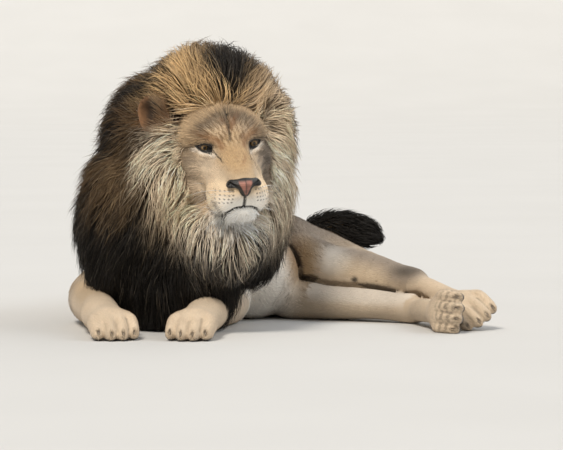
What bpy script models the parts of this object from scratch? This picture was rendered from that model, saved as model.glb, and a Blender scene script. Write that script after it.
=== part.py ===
"""A male lion at rest, life size, as a still museum model.

The forequarters lie upright on the elbows with both forepaws flat on the floor.
The hindquarters have rolled onto the right hip, so both hind legs reach out to
the lion's left, the left one lying on the right one. The head faces forwards,
turned a little to the left, and the tail curls round behind the rump.

Metres, +Z up. The lion faces -Y and its left is +X. Each body part is a few
lofted tubes and ellipsoids, made one skin by a voxel remesh, rounded, thinned
to few faces, hollowed where a neighbour lies in it and parted with thin cuts.
"""

import math

import bmesh
import bpy
import numpy as np
from mathutils import Matrix, Vector

# Driving dimensions.
GAP = 0.0007  # clearance between touching solids
EYE_SPACING = 0.117  # between the centres of the eyeballs
EYE_RADIUS = 0.0185
EYE_MIDPOINT = Vector((0.1482, -0.160, 0.436))
HEAD_YAW = math.radians(15.3)  # to the lion's left
HEAD_PITCH = math.radians(10)  # nose down
HEAD_ROLL = math.radians(4.5)  # left eye up
EAR_PLACE = {"left": (0.118, 0.128, 0.046), "right": (-0.146, 0.118, 0.062)}  # on the head
EAR_SPREAD = {"left": math.radians(62), "right": math.radians(-38)}  # the left one is laid back
EAR_LEAN = {"left": math.radians(20), "right": math.radians(-20)}
TOE_SPREAD = 0.0270  # between the middle lines of neighbouring toes

# Joints of the legs.
SHOULDER = {"left": (0.100, 0.040, 0.190), "right": (-0.080, 0.050, 0.165)}
ELBOW = {"left": (0.140, 0.195, 0.058), "right": (-0.182, 0.210, 0.058)}
WRIST = {"left": (0.096, -0.110, 0.044), "right": (-0.146, -0.100, 0.044)}
FORE_TOES = {"left": (0.070, -0.262, 0.029), "right": (-0.112, -0.254, 0.029)}
HIP = {"left": (0.195, 0.825, 0.150), "right": (0.155, 0.770, 0.062)}
KNEE = {"left": (0.348, 0.405, 0.112), "right": (0.325, 0.345, 0.043)}
HOCK = {"left": (0.596, 0.250, 0.088), "right": (0.590, 0.176, 0.034)}
HIND_TOES = {"left": (0.704, 0.020, 0.046), "right": (0.650, -0.060, 0.045)}

# Triangles that each solid is thinned to before its neighbours cut it.
FACES = {
    "head": 740,
    "nose": 90,
    "ear": 96,
    "mane": 440,
    "trunk": 300,
    "foreleg": 350,
    "hindleg": 380,
    "tail": 190,
}

# Colour and roughness of each finish.
MATERIALS = {
    "coat_tawny": ((0.46, 0.31, 0.18), 0.85),
    "mane_tawny": ((0.42, 0.29, 0.17), 0.80),
    "mane_dark": ((0.035, 0.028, 0.024), 0.80),
    "nose_skin": ((0.33, 0.13, 0.09), 0.55),
    "eye": ((0.28, 0.14, 0.04), 0.10),
    "claw_horn": ((0.09, 0.06, 0.045), 0.40),
}


def material(name):
    """The named finish, made once."""
    made = bpy.data.materials.get(name)
    if made is None:
        made = bpy.data.materials.new(name)
        made.use_nodes = True
        colour, roughness = MATERIALS[name]
        shader = made.node_tree.nodes["Principled BSDF"]
        shader.inputs["Base Color"].default_value = (*colour, 1)
        shader.inputs["Roughness"].default_value = roughness
        shader.inputs["Metallic"].default_value = 0
    return made


# Shapes, each added to a bmesh ------------------------------------------------


def through(stations, steps):
    """Catmull-Rom rows between the stations, whose columns are places and sizes."""
    rows = np.array(stations, float)
    ends = np.vstack([2 * rows[0] - rows[1], rows, 2 * rows[-1] - rows[-2]])
    found = []
    for a, b, c, d in zip(ends, ends[1:], ends[2:], ends[3:]):
        for t in np.arange(steps) / steps:
            bend = (2 * a - 5 * b + 4 * c - d) * t**2 + (3 * b - a - 3 * c + d) * t**3
            found.append(b + ((c - a) * t + bend) / 2)
    return np.array([*found, rows[-1]])


def tube(bm, stations, up=(0, 0, 1), sides=16, steps=4, dome=(30, 58, 80)):
    """A round-ended tube. Each station is x, y, z, half width and half height.

    The dome's degrees are how far round each of its smaller rings lies.
    """
    rows = through(stations, steps)
    places, sizes = rows[:, :3], np.maximum(rows[:, 3:], 0.001)
    along = np.gradient(places, axis=0)
    along /= np.linalg.norm(along, axis=1)[:, None]
    rings = list(zip(places, sizes, along))
    for end, way in ((0, -1), (-1, 1)):
        deep = along[end] * way * sizes[end].min()
        cap = [
            (places[end] + deep * math.sin(t), sizes[end] * math.cos(t), along[end])
            for t in np.radians(dome)
        ]
        rings = cap[::-1] + rings if end == 0 else rings + cap
    skinned = []
    for place, (wide, high), forward in rings:
        side = Vector(forward).cross(Vector(up)).normalized()
        above = side.cross(Vector(forward))
        skinned.append([
            bm.verts.new(
                Vector(place)
                + side * wide * math.cos(a)
                + above * high * math.sin(a)
            )
            for a in np.arange(sides) * math.tau / sides
        ])
    for low, high in zip(skinned, skinned[1:]):
        for i in range(sides):
            j = (i + 1) % sides
            bm.faces.new((low[i], low[j], high[j], high[i]))
    bm.faces.new(skinned[0][::-1])
    bm.faces.new(skinned[-1])


def ball(bm, centre, radii, turn=(0, 0, 0), sides=20, rings=12):
    """An ellipsoid, turned by degrees about X, Y and Z in that order."""
    spin = Matrix.Identity(4)
    for angle, axis in zip(turn, "XYZ"):
        spin = Matrix.Rotation(math.radians(angle), 4, axis) @ spin
    place = Matrix.Translation(centre) @ spin @ Matrix.Diagonal((*radii, 1))
    bmesh.ops.create_uvsphere(
        bm, u_segments=sides, v_segments=rings, radius=1, matrix=place
    )


def both(add, bm, centre, *sizes, turn=(0, 0, 0)):
    """The shape and its mirror image across the head's middle plane."""
    x, y, z = centre
    add(bm, (x, y, z), *sizes, turn=turn)
    add(bm, (-x, y, z), *sizes, turn=(turn[0], -turn[1], -turn[2]))


# Solids -----------------------------------------------------------------------


def put(bm, name, finish, frame=None):
    """The bmesh as an object with its faces pointing out, moved by the frame."""
    if frame is not None:
        bm.transform(frame)
    bmesh.ops.recalc_face_normals(bm, faces=bm.faces)
    mesh = bpy.data.meshes.new(name)
    bm.to_mesh(mesh)
    bm.free()
    mesh.materials.append(material(finish))
    mesh.shade_smooth()
    obj = bpy.data.objects.new(name, mesh)
    bpy.context.scene.collection.objects.link(obj)
    return obj


def settle(obj):
    """Applies the object's modifiers."""
    bpy.context.view_layer.update()
    graph = bpy.context.evaluated_depsgraph_get()
    mesh = bpy.data.meshes.new_from_object(obj.evaluated_get(graph))
    obj.modifiers.clear()
    obj.data = mesh
    return obj


def grow_together(obj, voxel, rounding, faces):
    """Makes the object's overlapping shapes one rounded skin of few triangles."""
    remesh = obj.modifiers.new("one_skin", "REMESH")
    remesh.mode = "VOXEL"
    remesh.voxel_size = voxel
    smooth = obj.modifiers.new("rounding", "SMOOTH")
    smooth.factor = 0.5
    smooth.iterations = rounding
    settle(obj)
    obj.data.calc_loop_triangles()
    thin = obj.modifiers.new("thinning", "DECIMATE")
    thin.ratio = faces / len(obj.data.loop_triangles)
    thin.use_collapse_triangulate = True
    return settle(obj)


def grown(obj):
    """A copy of the object, larger all round by the gap."""
    copy = obj.copy()
    copy.data = obj.data.copy()
    copy.name = "cutter"
    bpy.context.scene.collection.objects.link(copy)
    swell = copy.modifiers.new("swell", "DISPLACE")
    swell.strength = GAP
    swell.mid_level = 0
    return settle(copy)


def cut(obj, cutter, operation="DIFFERENCE"):
    """One exact Boolean, after which the cutter is gone."""
    boolean = obj.modifiers.new("cut", "BOOLEAN")
    boolean.operation = operation
    boolean.object = cutter
    settle(obj)
    bpy.data.objects.remove(cutter)
    return obj


def hollow(obj, *neighbours):
    """Takes each neighbour, and the gap round it, out of the object."""
    for neighbour in neighbours:
        cut(obj, grown(neighbour))
    return obj


def loose_pieces(bm):
    """The vertices of each separate body in the bmesh, the largest body first."""
    left, found = set(bm.verts), []
    while left:
        body, edge = set(), [left.pop()]
        while edge:
            vert = edge.pop()
            body.add(vert)
            for near in (e.other_vert(vert) for e in vert.link_edges):
                if near in left:
                    left.remove(near)
                    edge.append(near)
        found.append(body)
    return sorted(found, key=len, reverse=True)


def part(obj, slits, names):
    """Parts the object with thin discs and names its pieces.

    Each slit is a place, a normal and a radius. Each name comes with a point, and
    the loose bodies go to the nearest of these. A name keeps the largest of its
    bodies, and a name that has none, because a neighbour fills its place, is left.
    """
    for place, normal, radius in slits:
        bm = bmesh.new()
        turn = Vector(normal).to_track_quat("Z", "Y").to_matrix().to_4x4()
        bmesh.ops.create_cone(
            bm, cap_ends=True, segments=24, radius1=radius, radius2=radius,
            depth=GAP, matrix=Matrix.Translation(place) @ turn,
        )
        cut(obj, put(bm, "slit", "eye"))
    whole = bmesh.new()
    whole.from_mesh(obj.data)
    found = {}
    for body in loose_pieces(whole):
        middle = sum((v.co for v in body), Vector()) / len(body)
        nearest = min(names, key=lambda name: (middle - Vector(names[name][0])).length)
        found.setdefault(nearest, {v.index for v in body})
    made = {}
    for name, keep in found.items():
        piece = whole.copy()
        rest = [v for v in piece.verts if v.index not in keep]
        bmesh.ops.delete(piece, geom=rest, context="VERTS")
        finish = names[name][1] if len(names[name]) > 1 else obj.data.materials[0].name
        made[name] = put(piece, name, finish)
    whole.free()
    bpy.data.objects.remove(obj)
    return made


def stand_on_floor(obj):
    """Cuts off what would lie below the floor, which leaves a small flat."""
    bm = bmesh.new()
    bm.from_mesh(obj.data)
    if min(v.co.z for v in bm.verts) < 0:
        everything = [*bm.verts, *bm.edges, *bm.faces]
        bmesh.ops.bisect_plane(
            bm, geom=everything, dist=1e-5, plane_co=(0, 0, 0), plane_no=(0, 0, 1),
            clear_inner=True,
        )
        rim = [e for e in bm.edges if e.is_boundary]
        bmesh.ops.triangle_fill(bm, edges=rim, use_beauty=True, use_dissolve=False)
        for vert in bm.verts:
            vert.co.z = max(vert.co.z, 0)
        bmesh.ops.recalc_face_normals(bm, faces=bm.faces)
    bm.to_mesh(obj.data)
    bm.free()


# The head, from between the eyes: +X is left, -Y forwards and +Z up ------------


def head_frame():
    """Places the head, which is drawn facing -Y with the origin between its eyes."""
    facing = Matrix.Rotation(HEAD_YAW, 4, "Z")
    nod = Matrix.Rotation(HEAD_PITCH, 4, "X")
    tilt = Matrix.Rotation(-HEAD_ROLL, 4, "Y")
    return Matrix.Translation(EYE_MIDPOINT) @ facing @ nod @ tilt


def head_shapes(bm):
    """Skull, brows, cheeks, muzzle, whisker pads and chin."""
    ball(bm, (0, 0.110, 0.006), (0.088, 0.130, 0.078))  # braincase
    ball(bm, (0, 0.040, 0.024), (0.074, 0.085, 0.044), (12, 0, 0))  # forehead
    both(ball, bm, (0.050, 0.016, 0.026), (0.036, 0.030, 0.019), turn=(0, 14, 16))  # brow
    both(ball, bm, (0.076, 0.070, -0.046), (0.040, 0.080, 0.058), turn=(0, 0, -10))  # cheek
    both(ball, bm, (0.062, 0.070, -0.098), (0.046, 0.085, 0.052))  # jaw muscle
    both(ball, bm, (0.056, 0.002, -0.040), (0.036, 0.045, 0.032), turn=(14, 0, -14))
    tube(bm, [  # bridge of the nose
        (0, 0.030, 0.012, 0.046, 0.030),
        (0, -0.020, -0.006, 0.036, 0.032),
        (0, -0.080, -0.034, 0.034, 0.030),
        (0, -0.128, -0.056, 0.033, 0.022),
    ])
    tube(bm, [  # the muzzle's body
        (0, 0.020, -0.070, 0.070, 0.052),
        (0, -0.050, -0.082, 0.058, 0.045),
        (0, -0.100, -0.092, 0.050, 0.034),
    ])
    both(ball, bm, (0.035, -0.082, -0.095), (0.037, 0.054, 0.038), turn=(0, 12, -12))  # whisker pad
    both(ball, bm, (0.020, -0.127, -0.087), (0.024, 0.026, 0.024))  # upper lip
    both(ball, bm, (0.034, -0.104, -0.113), (0.027, 0.037, 0.028), turn=(0, 14, -10))  # hanging lip
    tube(bm, [  # lower jaw and chin
        (0, 0.080, -0.124, 0.062, 0.037),
        (0, -0.020, -0.127, 0.055, 0.029),
        (0, -0.080, -0.126, 0.050, 0.025),
    ])
    ball(bm, (0, -0.097, -0.127), (0.049, 0.037, 0.026))


def nose_shapes(bm):
    """The bare nose: a broad wedge that narrows to the lip."""
    ball(bm, (0, -0.143, -0.059), (0.028, 0.019, 0.014), (22, 0, 0))
    ball(bm, (0, -0.147, -0.070), (0.017, 0.013, 0.019), (8, 0, 0))
    both(ball, bm, (0.025, -0.135, -0.059), (0.016, 0.017, 0.010), turn=(0, 28, -32))


def ear_shapes(bm):
    """The left ear's outside, a round-topped hood on a short stalk."""
    ball(bm, (0, 0, 0), (0.041, 0.022, 0.043))
    ball(bm, (-0.005, 0.006, -0.028), (0.034, 0.026, 0.034))


def ear_frame(side):
    """Where an ear stands on the head: its hollow faces forwards and outwards."""
    spread = Matrix.Rotation(EAR_SPREAD[side], 4, "Z")
    lean = Matrix.Rotation(EAR_LEAN[side], 4, "Y")
    return Matrix.Translation(EAR_PLACE[side]) @ spread @ lean


def make_ear(side, frame):
    """An ear with its hollow scooped out of the front."""
    bm = bmesh.new()
    ear_shapes(bm)
    place = frame @ ear_frame(side)
    if side == "right":
        place = place @ Matrix.Diagonal((-1, 1, 1, 1))
    ear = grow_together(put(bm, f"ear_{side}", "coat_tawny", place), 0.005, 3, FACES["ear"])
    scoop = bmesh.new()
    ball(scoop, (0.002, -0.024, 0.005), (0.027, 0.029, 0.029), sides=12, rings=8)
    return cut(ear, put(scoop, "scoop", "coat_tawny", place))


def make_head():
    """Head, nose, eyes and ears as whole solids."""
    frame = head_frame()
    bm = bmesh.new()
    head_shapes(bm)
    head = grow_together(put(bm, "head", "coat_tawny", frame), 0.0055, 6, FACES["head"])
    bm = bmesh.new()
    nose_shapes(bm)
    nose = grow_together(put(bm, "nose", "nose_skin", frame), 0.004, 3, FACES["nose"])
    made = {"head": head, "nose": nose}
    for side, sign in (("left", 1), ("right", -1)):
        bm = bmesh.new()
        centre = (sign * EYE_SPACING / 2, 0.010, 0)
        radii = (EYE_RADIUS, EYE_RADIUS, EYE_RADIUS)
        ball(bm, centre, radii, (90, 0, 0), sides=10, rings=7)
        made[f"eye_{side}"] = put(bm, f"eye_{side}", "eye", frame)
        made[f"ear_{side}"] = make_ear(side, frame)
    return made


# Mane, trunk and tail ---------------------------------------------------------


def mane_shapes(bm):
    """The mane out to its tips, in the masses that a person would name."""
    ball(bm, (0.100, 0.030, 0.530), (0.165, 0.170, 0.138))  # crown
    ball(bm, (-0.005, 0.090, 0.440), (0.150, 0.190, 0.170))  # behind the right ear
    ball(bm, (0.196, 0.055, 0.440), (0.108, 0.150, 0.170))  # behind the left ear
    ball(bm, (0.035, -0.050, 0.345), (0.135, 0.130, 0.165))  # right cheek ruff
    ball(bm, (0.212, -0.005, 0.335), (0.092, 0.120, 0.165))  # left cheek ruff
    ball(bm, (0.135, -0.130, 0.245), (0.118, 0.105, 0.130))  # throat
    ball(bm, (-0.055, 0.080, 0.240), (0.160, 0.210, 0.235))  # right shoulder
    ball(bm, (0.035, -0.010, 0.130), (0.150, 0.130, 0.165))  # chest
    ball(bm, (0.176, 0.060, 0.230), (0.108, 0.150, 0.140))  # left shoulder
    ball(bm, (0.240, -0.025, 0.480), (0.060, 0.085, 0.095))  # in front of the left ear
    tube(bm, [  # neck up to the withers
        (0.100, 0.020, 0.440, 0.150, 0.150),
        (0.050, 0.200, 0.430, 0.165, 0.155),
        (0.020, 0.370, 0.370, 0.150, 0.150),
    ])


def trunk_shapes(bm):
    """Chest, ribs, belly, loin and rump along a spine that bends to the left."""
    tube(bm, [
        (0.000, 0.020, 0.190, 0.120, 0.150),
        (0.000, 0.130, 0.220, 0.175, 0.215),
        (0.005, 0.270, 0.238, 0.200, 0.242),
        (0.028, 0.450, 0.222, 0.202, 0.224),
        (0.068, 0.620, 0.190, 0.166, 0.190),
        (0.108, 0.755, 0.180, 0.170, 0.186),
        (0.136, 0.865, 0.165, 0.154, 0.172),
        (0.154, 0.960, 0.150, 0.120, 0.138),
    ], steps=3, sides=20)
    ball(bm, (0.168, 0.820, 0.190), (0.122, 0.165, 0.112), (0, 18, 12))  # left hip
    ball(bm, (0.250, 0.600, 0.146), (0.122, 0.200, 0.104), (0, 0, 20))  # left haunch
    ball(bm, (0.172, 0.400, 0.105), (0.140, 0.200, 0.122), (0, 0, 18))  # belly fold


TAIL = [
    (0.158, 0.980, 0.150, 0.050, 0.050),
    (0.156, 1.080, 0.095, 0.031, 0.033),
    (0.165, 1.170, 0.034, 0.024, 0.024),
    (0.200, 1.255, 0.014, 0.020, 0.020),
    (0.268, 1.300, 0.026, 0.018, 0.018),
    (0.316, 1.262, 0.078, 0.016, 0.016),
    (0.326, 1.190, 0.138, 0.019, 0.020),
    (0.355, 1.130, 0.178, 0.031, 0.032),
    (0.420, 1.085, 0.188, 0.041, 0.042),
    (0.480, 1.050, 0.172, 0.041, 0.044),
    (0.505, 1.040, 0.163, 0.028, 0.030),
]


# Legs -------------------------------------------------------------------------


def between(a, b, share):
    """The point that share of the way from a to b."""
    return Vector(a).lerp(Vector(b), share)


def limb(bm, stops, up=(0, 0, 1)):
    """A tube through points, each given with a half width and half height."""
    tube(bm, [(*point, wide, high) for point, wide, high in stops], up)


def paw_frame(back, toes, dorsal):
    """+Y from the back point to the toes, +Z towards the top of the paw."""
    forward = (Vector(toes) - Vector(back)).normalized()
    side = forward.cross(Vector(dorsal)).normalized()
    above = side.cross(forward)
    turn = Matrix((side, forward, above)).transposed().to_4x4()
    return Matrix.Translation(toes) @ turn


def toe_places():
    """How far aside and forwards each toe's middle lies, the middle two furthest."""
    for i in (-1.5, -0.5, 0.5, 1.5):
        yield i * TOE_SPREAD, 0.036 - 0.007 * i * i


def paw_shapes(bm, frame, hind, inner):
    """Toes, knuckles and pads. inner is +1 or -1, the side of the dewclaw."""
    own = bmesh.new()
    slim = 0.92 if hind else 1.0
    for aside, ahead in toe_places():
        ball(own, (aside * slim, ahead, 0.002), (0.0175, 0.040, 0.0260), (-8, 0, 0))
        ball(own, (aside * slim, ahead + 0.024, -0.008), (0.0158, 0.023, 0.0210))
    ball(own, (0, -0.012, 0.004), (0.050 * slim, 0.052, 0.033))
    ball(own, (0, -0.008, -0.020), (0.036, 0.028, 0.018))
    if not hind:
        ball(own, (inner * 0.050, -0.072, 0.006), (0.014, 0.028, 0.015), (0, 0, -12 * inner))
    own.transform(frame)
    mesh = bpy.data.meshes.new("paw")
    own.to_mesh(mesh)
    own.free()
    bm.from_mesh(mesh)


def make_claws(name, frame, hind, inner):
    """Hooked claws that show past the fur of each toe, and on a forepaw the dewclaw."""
    slim = 0.92 if hind else 1.0
    places = [(aside * slim, ahead + 0.036, -0.003, 0) for aside, ahead in toe_places()]
    if not hind:
        places.append((inner * 0.050, -0.052, 0.002, -12 * inner))
    made = {}
    for i, (x, y, z, turn) in enumerate(places):
        bm = bmesh.new()
        tube(bm, [
            (0, -0.010, 0.002, 0.0030, 0.0042),
            (0, 0.002, 0.002, 0.0026, 0.0038),
            (0, 0.010, -0.004, 0.0010, 0.0014),
        ], sides=4, steps=1, dome=(50,))
        spin = Matrix.Rotation(math.radians(turn), 4, "Z")
        place = frame @ Matrix.Translation((x, y, z)) @ spin
        made[f"{name}_claw_{i + 1}"] = put(bm, f"{name}_claw_{i + 1}", "claw_horn", place)
    return made


def make_fore_leg(side):
    """Upper arm, forearm and paw of one foreleg, with its claws."""
    shoulder, elbow = SHOULDER[side], ELBOW[side]
    wrist, toes = WRIST[side], FORE_TOES[side]
    inner = 1 if side == "left" else -1
    bm = bmesh.new()
    limb(bm, [
        (shoulder, 0.070, 0.080),
        (between(shoulder, elbow, 0.5), 0.062, 0.070),
        (elbow, 0.056, 0.064),
    ])
    limb(bm, [
        (between(elbow, wrist, -0.12), 0.040, 0.046),
        (between(elbow, wrist, 0.10), 0.060, 0.062),
        (between(elbow, wrist, 0.40), 0.056, 0.056),
        (between(elbow, wrist, 0.75), 0.048, 0.048),
        (wrist, 0.050, 0.047),
        (between(wrist, toes, 0.40), 0.049, 0.042),
        (between(wrist, toes, 0.85), 0.052, 0.037),
    ])
    frame = paw_frame(wrist, toes, (0, 0, 1))
    paw_shapes(bm, frame, False, inner)
    name = f"foreleg_{side}"
    leg = put(bm, name, "coat_tawny")
    grow_together(leg, 0.0075, 4, FACES["foreleg"])
    claws = make_claws(f"forepaw_{side}", frame, False, inner)
    return leg, claws


def make_hind_leg(side):
    """Thigh, shank and foot of one hind leg, with its claws."""
    hip, knee, hock, toes = HIP[side], KNEE[side], HOCK[side], HIND_TOES[side]
    # The lower leg's sole faces the lion's left; the upper one's is turned half down.
    dorsal = (-0.55, -0.1, 0.83) if side == "left" else (-0.97, -0.2, 0.12)
    flat = 0.68 if side == "right" else 1.0
    bm = bmesh.new()
    limb(bm, [
        (hip, 0.118, 0.080 * flat),
        (between(hip, knee, 0.5), 0.122, 0.082 * flat),
        (between(hip, knee, 0.85), 0.092, 0.078 * flat),
        (knee, 0.070, 0.072 * flat),
    ])
    limb(bm, [
        (between(knee, hock, -0.05), 0.074, 0.074 * flat),
        (between(knee, hock, 0.30), 0.070, 0.066 * flat),
        (between(knee, hock, 0.65), 0.052, 0.050 * flat),
        (between(knee, hock, 0.95), 0.035, 0.035),
    ])
    heel = Vector(hock) - 0.10 * (Vector(toes) - Vector(hock))
    limb(bm, [
        (between(hip, knee, 0.70) + Vector((0.065, 0.045, 0.014 * flat)), 0.080, 0.066 * flat),
        (between(knee, hock, 0.45) + Vector((0.018, 0.030, 0.016 * flat)), 0.048, 0.046 * flat),
        (heel, 0.026, 0.026),
    ])
    limb(bm, [
        (heel, 0.028, 0.030),
        (between(hock, toes, 0.25), 0.032, 0.034),
        (between(hock, toes, 0.65), 0.034, 0.034),
        (between(hock, toes, 0.92), 0.044, 0.034),
    ], up=dorsal)
    frame = paw_frame(hock, toes, dorsal)
    paw_shapes(bm, frame, True, 0)
    leg = put(bm, f"hindleg_{side}", "coat_tawny")
    grow_together(leg, 0.0075, 4, FACES["hindleg"])
    claws = make_claws(f"hindpaw_{side}", frame, True, 0)
    return leg, claws


def make_mane():
    """The mane as one solid."""
    bm = bmesh.new()
    mane_shapes(bm)
    return grow_together(put(bm, "mane", "mane_tawny"), 0.013, 8, FACES["mane"])


def make_trunk():
    """The trunk as one solid."""
    bm = bmesh.new()
    trunk_shapes(bm)
    return grow_together(put(bm, "trunk", "coat_tawny"), 0.015, 8, FACES["trunk"])


def make_tail():
    """The tail as one solid, from the rump to the tip of its tuft."""
    bm = bmesh.new()
    tube(bm, TAIL, sides=12, steps=5)
    return grow_together(put(bm, "tail", "coat_tawny"), 0.008, 1, FACES["tail"])


def part_leg(leg, side, joints, names, radii):
    """Parts a leg at its two lower joints."""
    top, middle, low, toes = joints
    slits = []
    for a, b, c, radius in ((top, middle, low, radii[0]), (middle, low, toes, radii[1])):
        before = (Vector(b) - Vector(a)).normalized()
        after = (Vector(c) - Vector(b)).normalized()
        slits.append((Vector(b), before + after, radius))
    spots = (between(top, middle, 0.45), between(middle, low, 0.5), between(low, toes, 0.8))
    labels = {f"{name}_{side}": (spot,) for name, spot in zip(names, spots)}
    return part(leg, slits, labels)


def centre_on_origin(objects):
    """Sets the middle of the bounding box over the origin."""
    points = [v.co for obj in objects for v in obj.data.vertices]
    low = Vector(min(p[i] for p in points) for i in range(3))
    high = Vector(max(p[i] for p in points) for i in range(3))
    shift = Matrix.Translation((-(low.x + high.x) / 2, -(low.y + high.y) / 2, 0))
    for obj in objects:
        obj.data.transform(shift)


def main():
    for obj in list(bpy.data.objects):
        bpy.data.objects.remove(obj)
    made = make_head()
    ears = made["ear_left"], made["ear_right"]
    mane, trunk, tail = make_mane(), make_trunk(), make_tail()
    legs, claws = {}, {}
    for side in ("left", "right"):
        legs["fore", side], claws["fore", side] = make_fore_leg(side)
        legs["hind", side], claws["hind", side] = make_hind_leg(side)
    # Each solid is cut by neighbours that are still whole, the deepest first.
    hollow(tail, trunk)
    hollow(trunk, mane, *legs.values())
    hollow(legs["hind", "right"], legs["hind", "left"])
    for key, nails in claws.items():
        hollow(legs[key], *nails.values())
        made |= nails
    for side in ("left", "right"):
        hollow(legs["fore", side], mane)
    hollow(mane, made["head"], made["nose"], *ears)
    for ear in ears:
        hollow(ear, made["head"])
    hollow(made["head"], made["nose"], made["eye_left"], made["eye_right"])
    made |= part(mane, [
        ((0.05, 0.170, 0.40), (-0.15, 1, -0.1), 0.6),
        ((0.05, 0.060, 0.225), (0, -0.12, 1), 0.6),
    ], {
        "mane_ruff": ((0.10, 0.0, 0.42),),
        "mane_neck": ((0.03, 0.28, 0.40),),
        "mane_chest": ((0.06, 0.0, 0.12), "mane_dark"),
        "mane_shoulder": ((-0.02, 0.22, 0.12), "mane_dark"),
    })
    for side in ("left", "right"):
        made |= part_leg(
            legs["fore", side], side,
            (SHOULDER[side], ELBOW[side], WRIST[side], FORE_TOES[side]),
            ("upper_arm", "forearm", "forepaw"), (0.16, 0.09),
        )
        made |= part_leg(
            legs["hind", side], side,
            (HIP[side], KNEE[side], HOCK[side], HIND_TOES[side]),
            ("thigh", "shank", "hindpaw"), (0.28, 0.10),
        )
    made |= part(trunk, [((0.09, 0.570, 0.2), (0.4, 1, 0), 0.6)], {
        "ribcage": ((0.02, 0.35, 0.25),),
        "hindquarters": ((0.12, 0.80, 0.18),),
    })
    made |= part(tail, [
        ((0.178, 1.210, 0.030), (0.4, 1, -0.3), 0.06),
        ((0.333, 1.172, 0.150), (0.3, -0.7, 0.6), 0.06),
    ], {
        "tail_root": ((0.16, 1.08, 0.1),),
        "tail_middle": ((0.27, 1.29, 0.04),),
        "tail_tuft": ((0.43, 1.08, 0.22), "mane_dark"),
    })
    for obj in made.values():
        stand_on_floor(obj)
    centre_on_origin(list(made.values()))


main()
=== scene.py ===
"""Looks of a life-size male lion that lies on its chest and hip with its head up.

One skin is grown over the whole body as the zero level of a distance. The coat, mane, eyes, nose, claws
and whiskers are laid on it as arrays. Lengths are metres. Places are the body's own: +X is its left, -Y the
way it faces, +Z up, with the floor at 0. Places on the head are local to it, from between its eyes.
"""

import math

import bmesh
import bpy
import numpy as np
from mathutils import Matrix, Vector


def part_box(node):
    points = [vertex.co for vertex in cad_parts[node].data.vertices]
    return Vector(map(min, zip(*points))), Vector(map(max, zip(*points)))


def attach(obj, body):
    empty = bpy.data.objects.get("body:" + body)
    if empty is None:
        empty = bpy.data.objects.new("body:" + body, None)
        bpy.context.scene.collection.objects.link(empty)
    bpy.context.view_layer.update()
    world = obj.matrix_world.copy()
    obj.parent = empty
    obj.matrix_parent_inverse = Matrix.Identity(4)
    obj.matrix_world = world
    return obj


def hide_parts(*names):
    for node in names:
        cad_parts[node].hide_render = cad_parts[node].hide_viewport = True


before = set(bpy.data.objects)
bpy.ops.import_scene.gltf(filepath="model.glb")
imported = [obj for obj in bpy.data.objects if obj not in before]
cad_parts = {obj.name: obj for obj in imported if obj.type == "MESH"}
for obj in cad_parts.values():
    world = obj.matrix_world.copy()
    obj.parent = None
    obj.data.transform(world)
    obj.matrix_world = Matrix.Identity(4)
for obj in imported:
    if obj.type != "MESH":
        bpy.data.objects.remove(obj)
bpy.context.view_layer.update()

import openvdb
from mathutils import Euler, Matrix, Vector

bl_info = {
    "name": "Lying lion",
    "version": (1, 0, 0),
    "blender": (4, 5, 0),
    "location": "3D View > Sidebar > Lion",
    "description": "Skin, coat and features of a life-size lion",
    "category": "Object",
}

# Places of the body, as the solids have them.
HEAD = (
    Matrix.Translation((0.1482, -0.160, 0.436))
    @ Matrix.Rotation(math.radians(15.3), 4, "Z")
    @ Matrix.Rotation(math.radians(10.0), 4, "X")
    @ Matrix.Rotation(math.radians(-4.5), 4, "Y")
)
EYE_CENTRE = Vector((0.0585, 0.010, 0.0))  # the left one, on the head
EYE_RADIUS = 0.0185
EYE_CORNER = (0.0455, -0.0030, -0.0045)  # the third lid's fold
EAR_PLACE = {1: (0.118, 0.128, 0.046), -1: (-0.146, 0.118, 0.062)}  # the left one laid back in the mane
EAR_SPREAD = {1: 62.0, -1: -38.0}
SIDES = {"left": 1, "right": -1}
SHOULDER = {"left": (0.100, 0.040, 0.190), "right": (-0.080, 0.050, 0.165)}
ELBOW = {"left": (0.140, 0.195, 0.058), "right": (-0.182, 0.210, 0.058)}
WRIST = {"left": (0.096, -0.110, 0.044), "right": (-0.146, -0.100, 0.044)}
FORE_TOES = {"left": (0.070, -0.262, 0.029), "right": (-0.112, -0.254, 0.029)}
HIP = {"left": (0.195, 0.825, 0.150), "right": (0.155, 0.770, 0.062)}
KNEE = {"left": (0.348, 0.405, 0.112), "right": (0.325, 0.345, 0.043)}
HOCK = {"left": (0.596, 0.250, 0.088), "right": (0.590, 0.176, 0.034)}
HIND_TOES = {"left": (0.704, 0.020, 0.046), "right": (0.650, -0.060, 0.045)}
FORE_DORSAL = (0, 0, 1)
HIND_DORSAL = {"left": (-0.55, -0.1, 0.83), "right": (-0.97, -0.2, 0.12)}
HIND_FLAT = {"left": 1.0, "right": 0.68}
TOE_SPREAD = 0.0270
HIND_SLIM = 0.92
TRUNK = [
    (0, 0.020, 0.190, 0.120, 0.150), (0, 0.130, 0.220, 0.175, 0.215),
    (0.005, 0.270, 0.238, 0.200, 0.242), (0.028, 0.450, 0.222, 0.202, 0.224),
    (0.068, 0.620, 0.190, 0.166, 0.190), (0.108, 0.755, 0.180, 0.170, 0.186),
    (0.136, 0.865, 0.165, 0.154, 0.172), (0.154, 0.960, 0.150, 0.120, 0.138),
]
TAIL = [
    (0.158, 0.980, 0.150, 0.050, 0.050), (0.156, 1.080, 0.095, 0.031, 0.033),
    (0.165, 1.170, 0.034, 0.024, 0.024), (0.200, 1.255, 0.014, 0.020, 0.020),
    (0.268, 1.300, 0.026, 0.018, 0.018), (0.316, 1.262, 0.078, 0.016, 0.016),
    (0.326, 1.190, 0.138, 0.019, 0.020),
]
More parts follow.
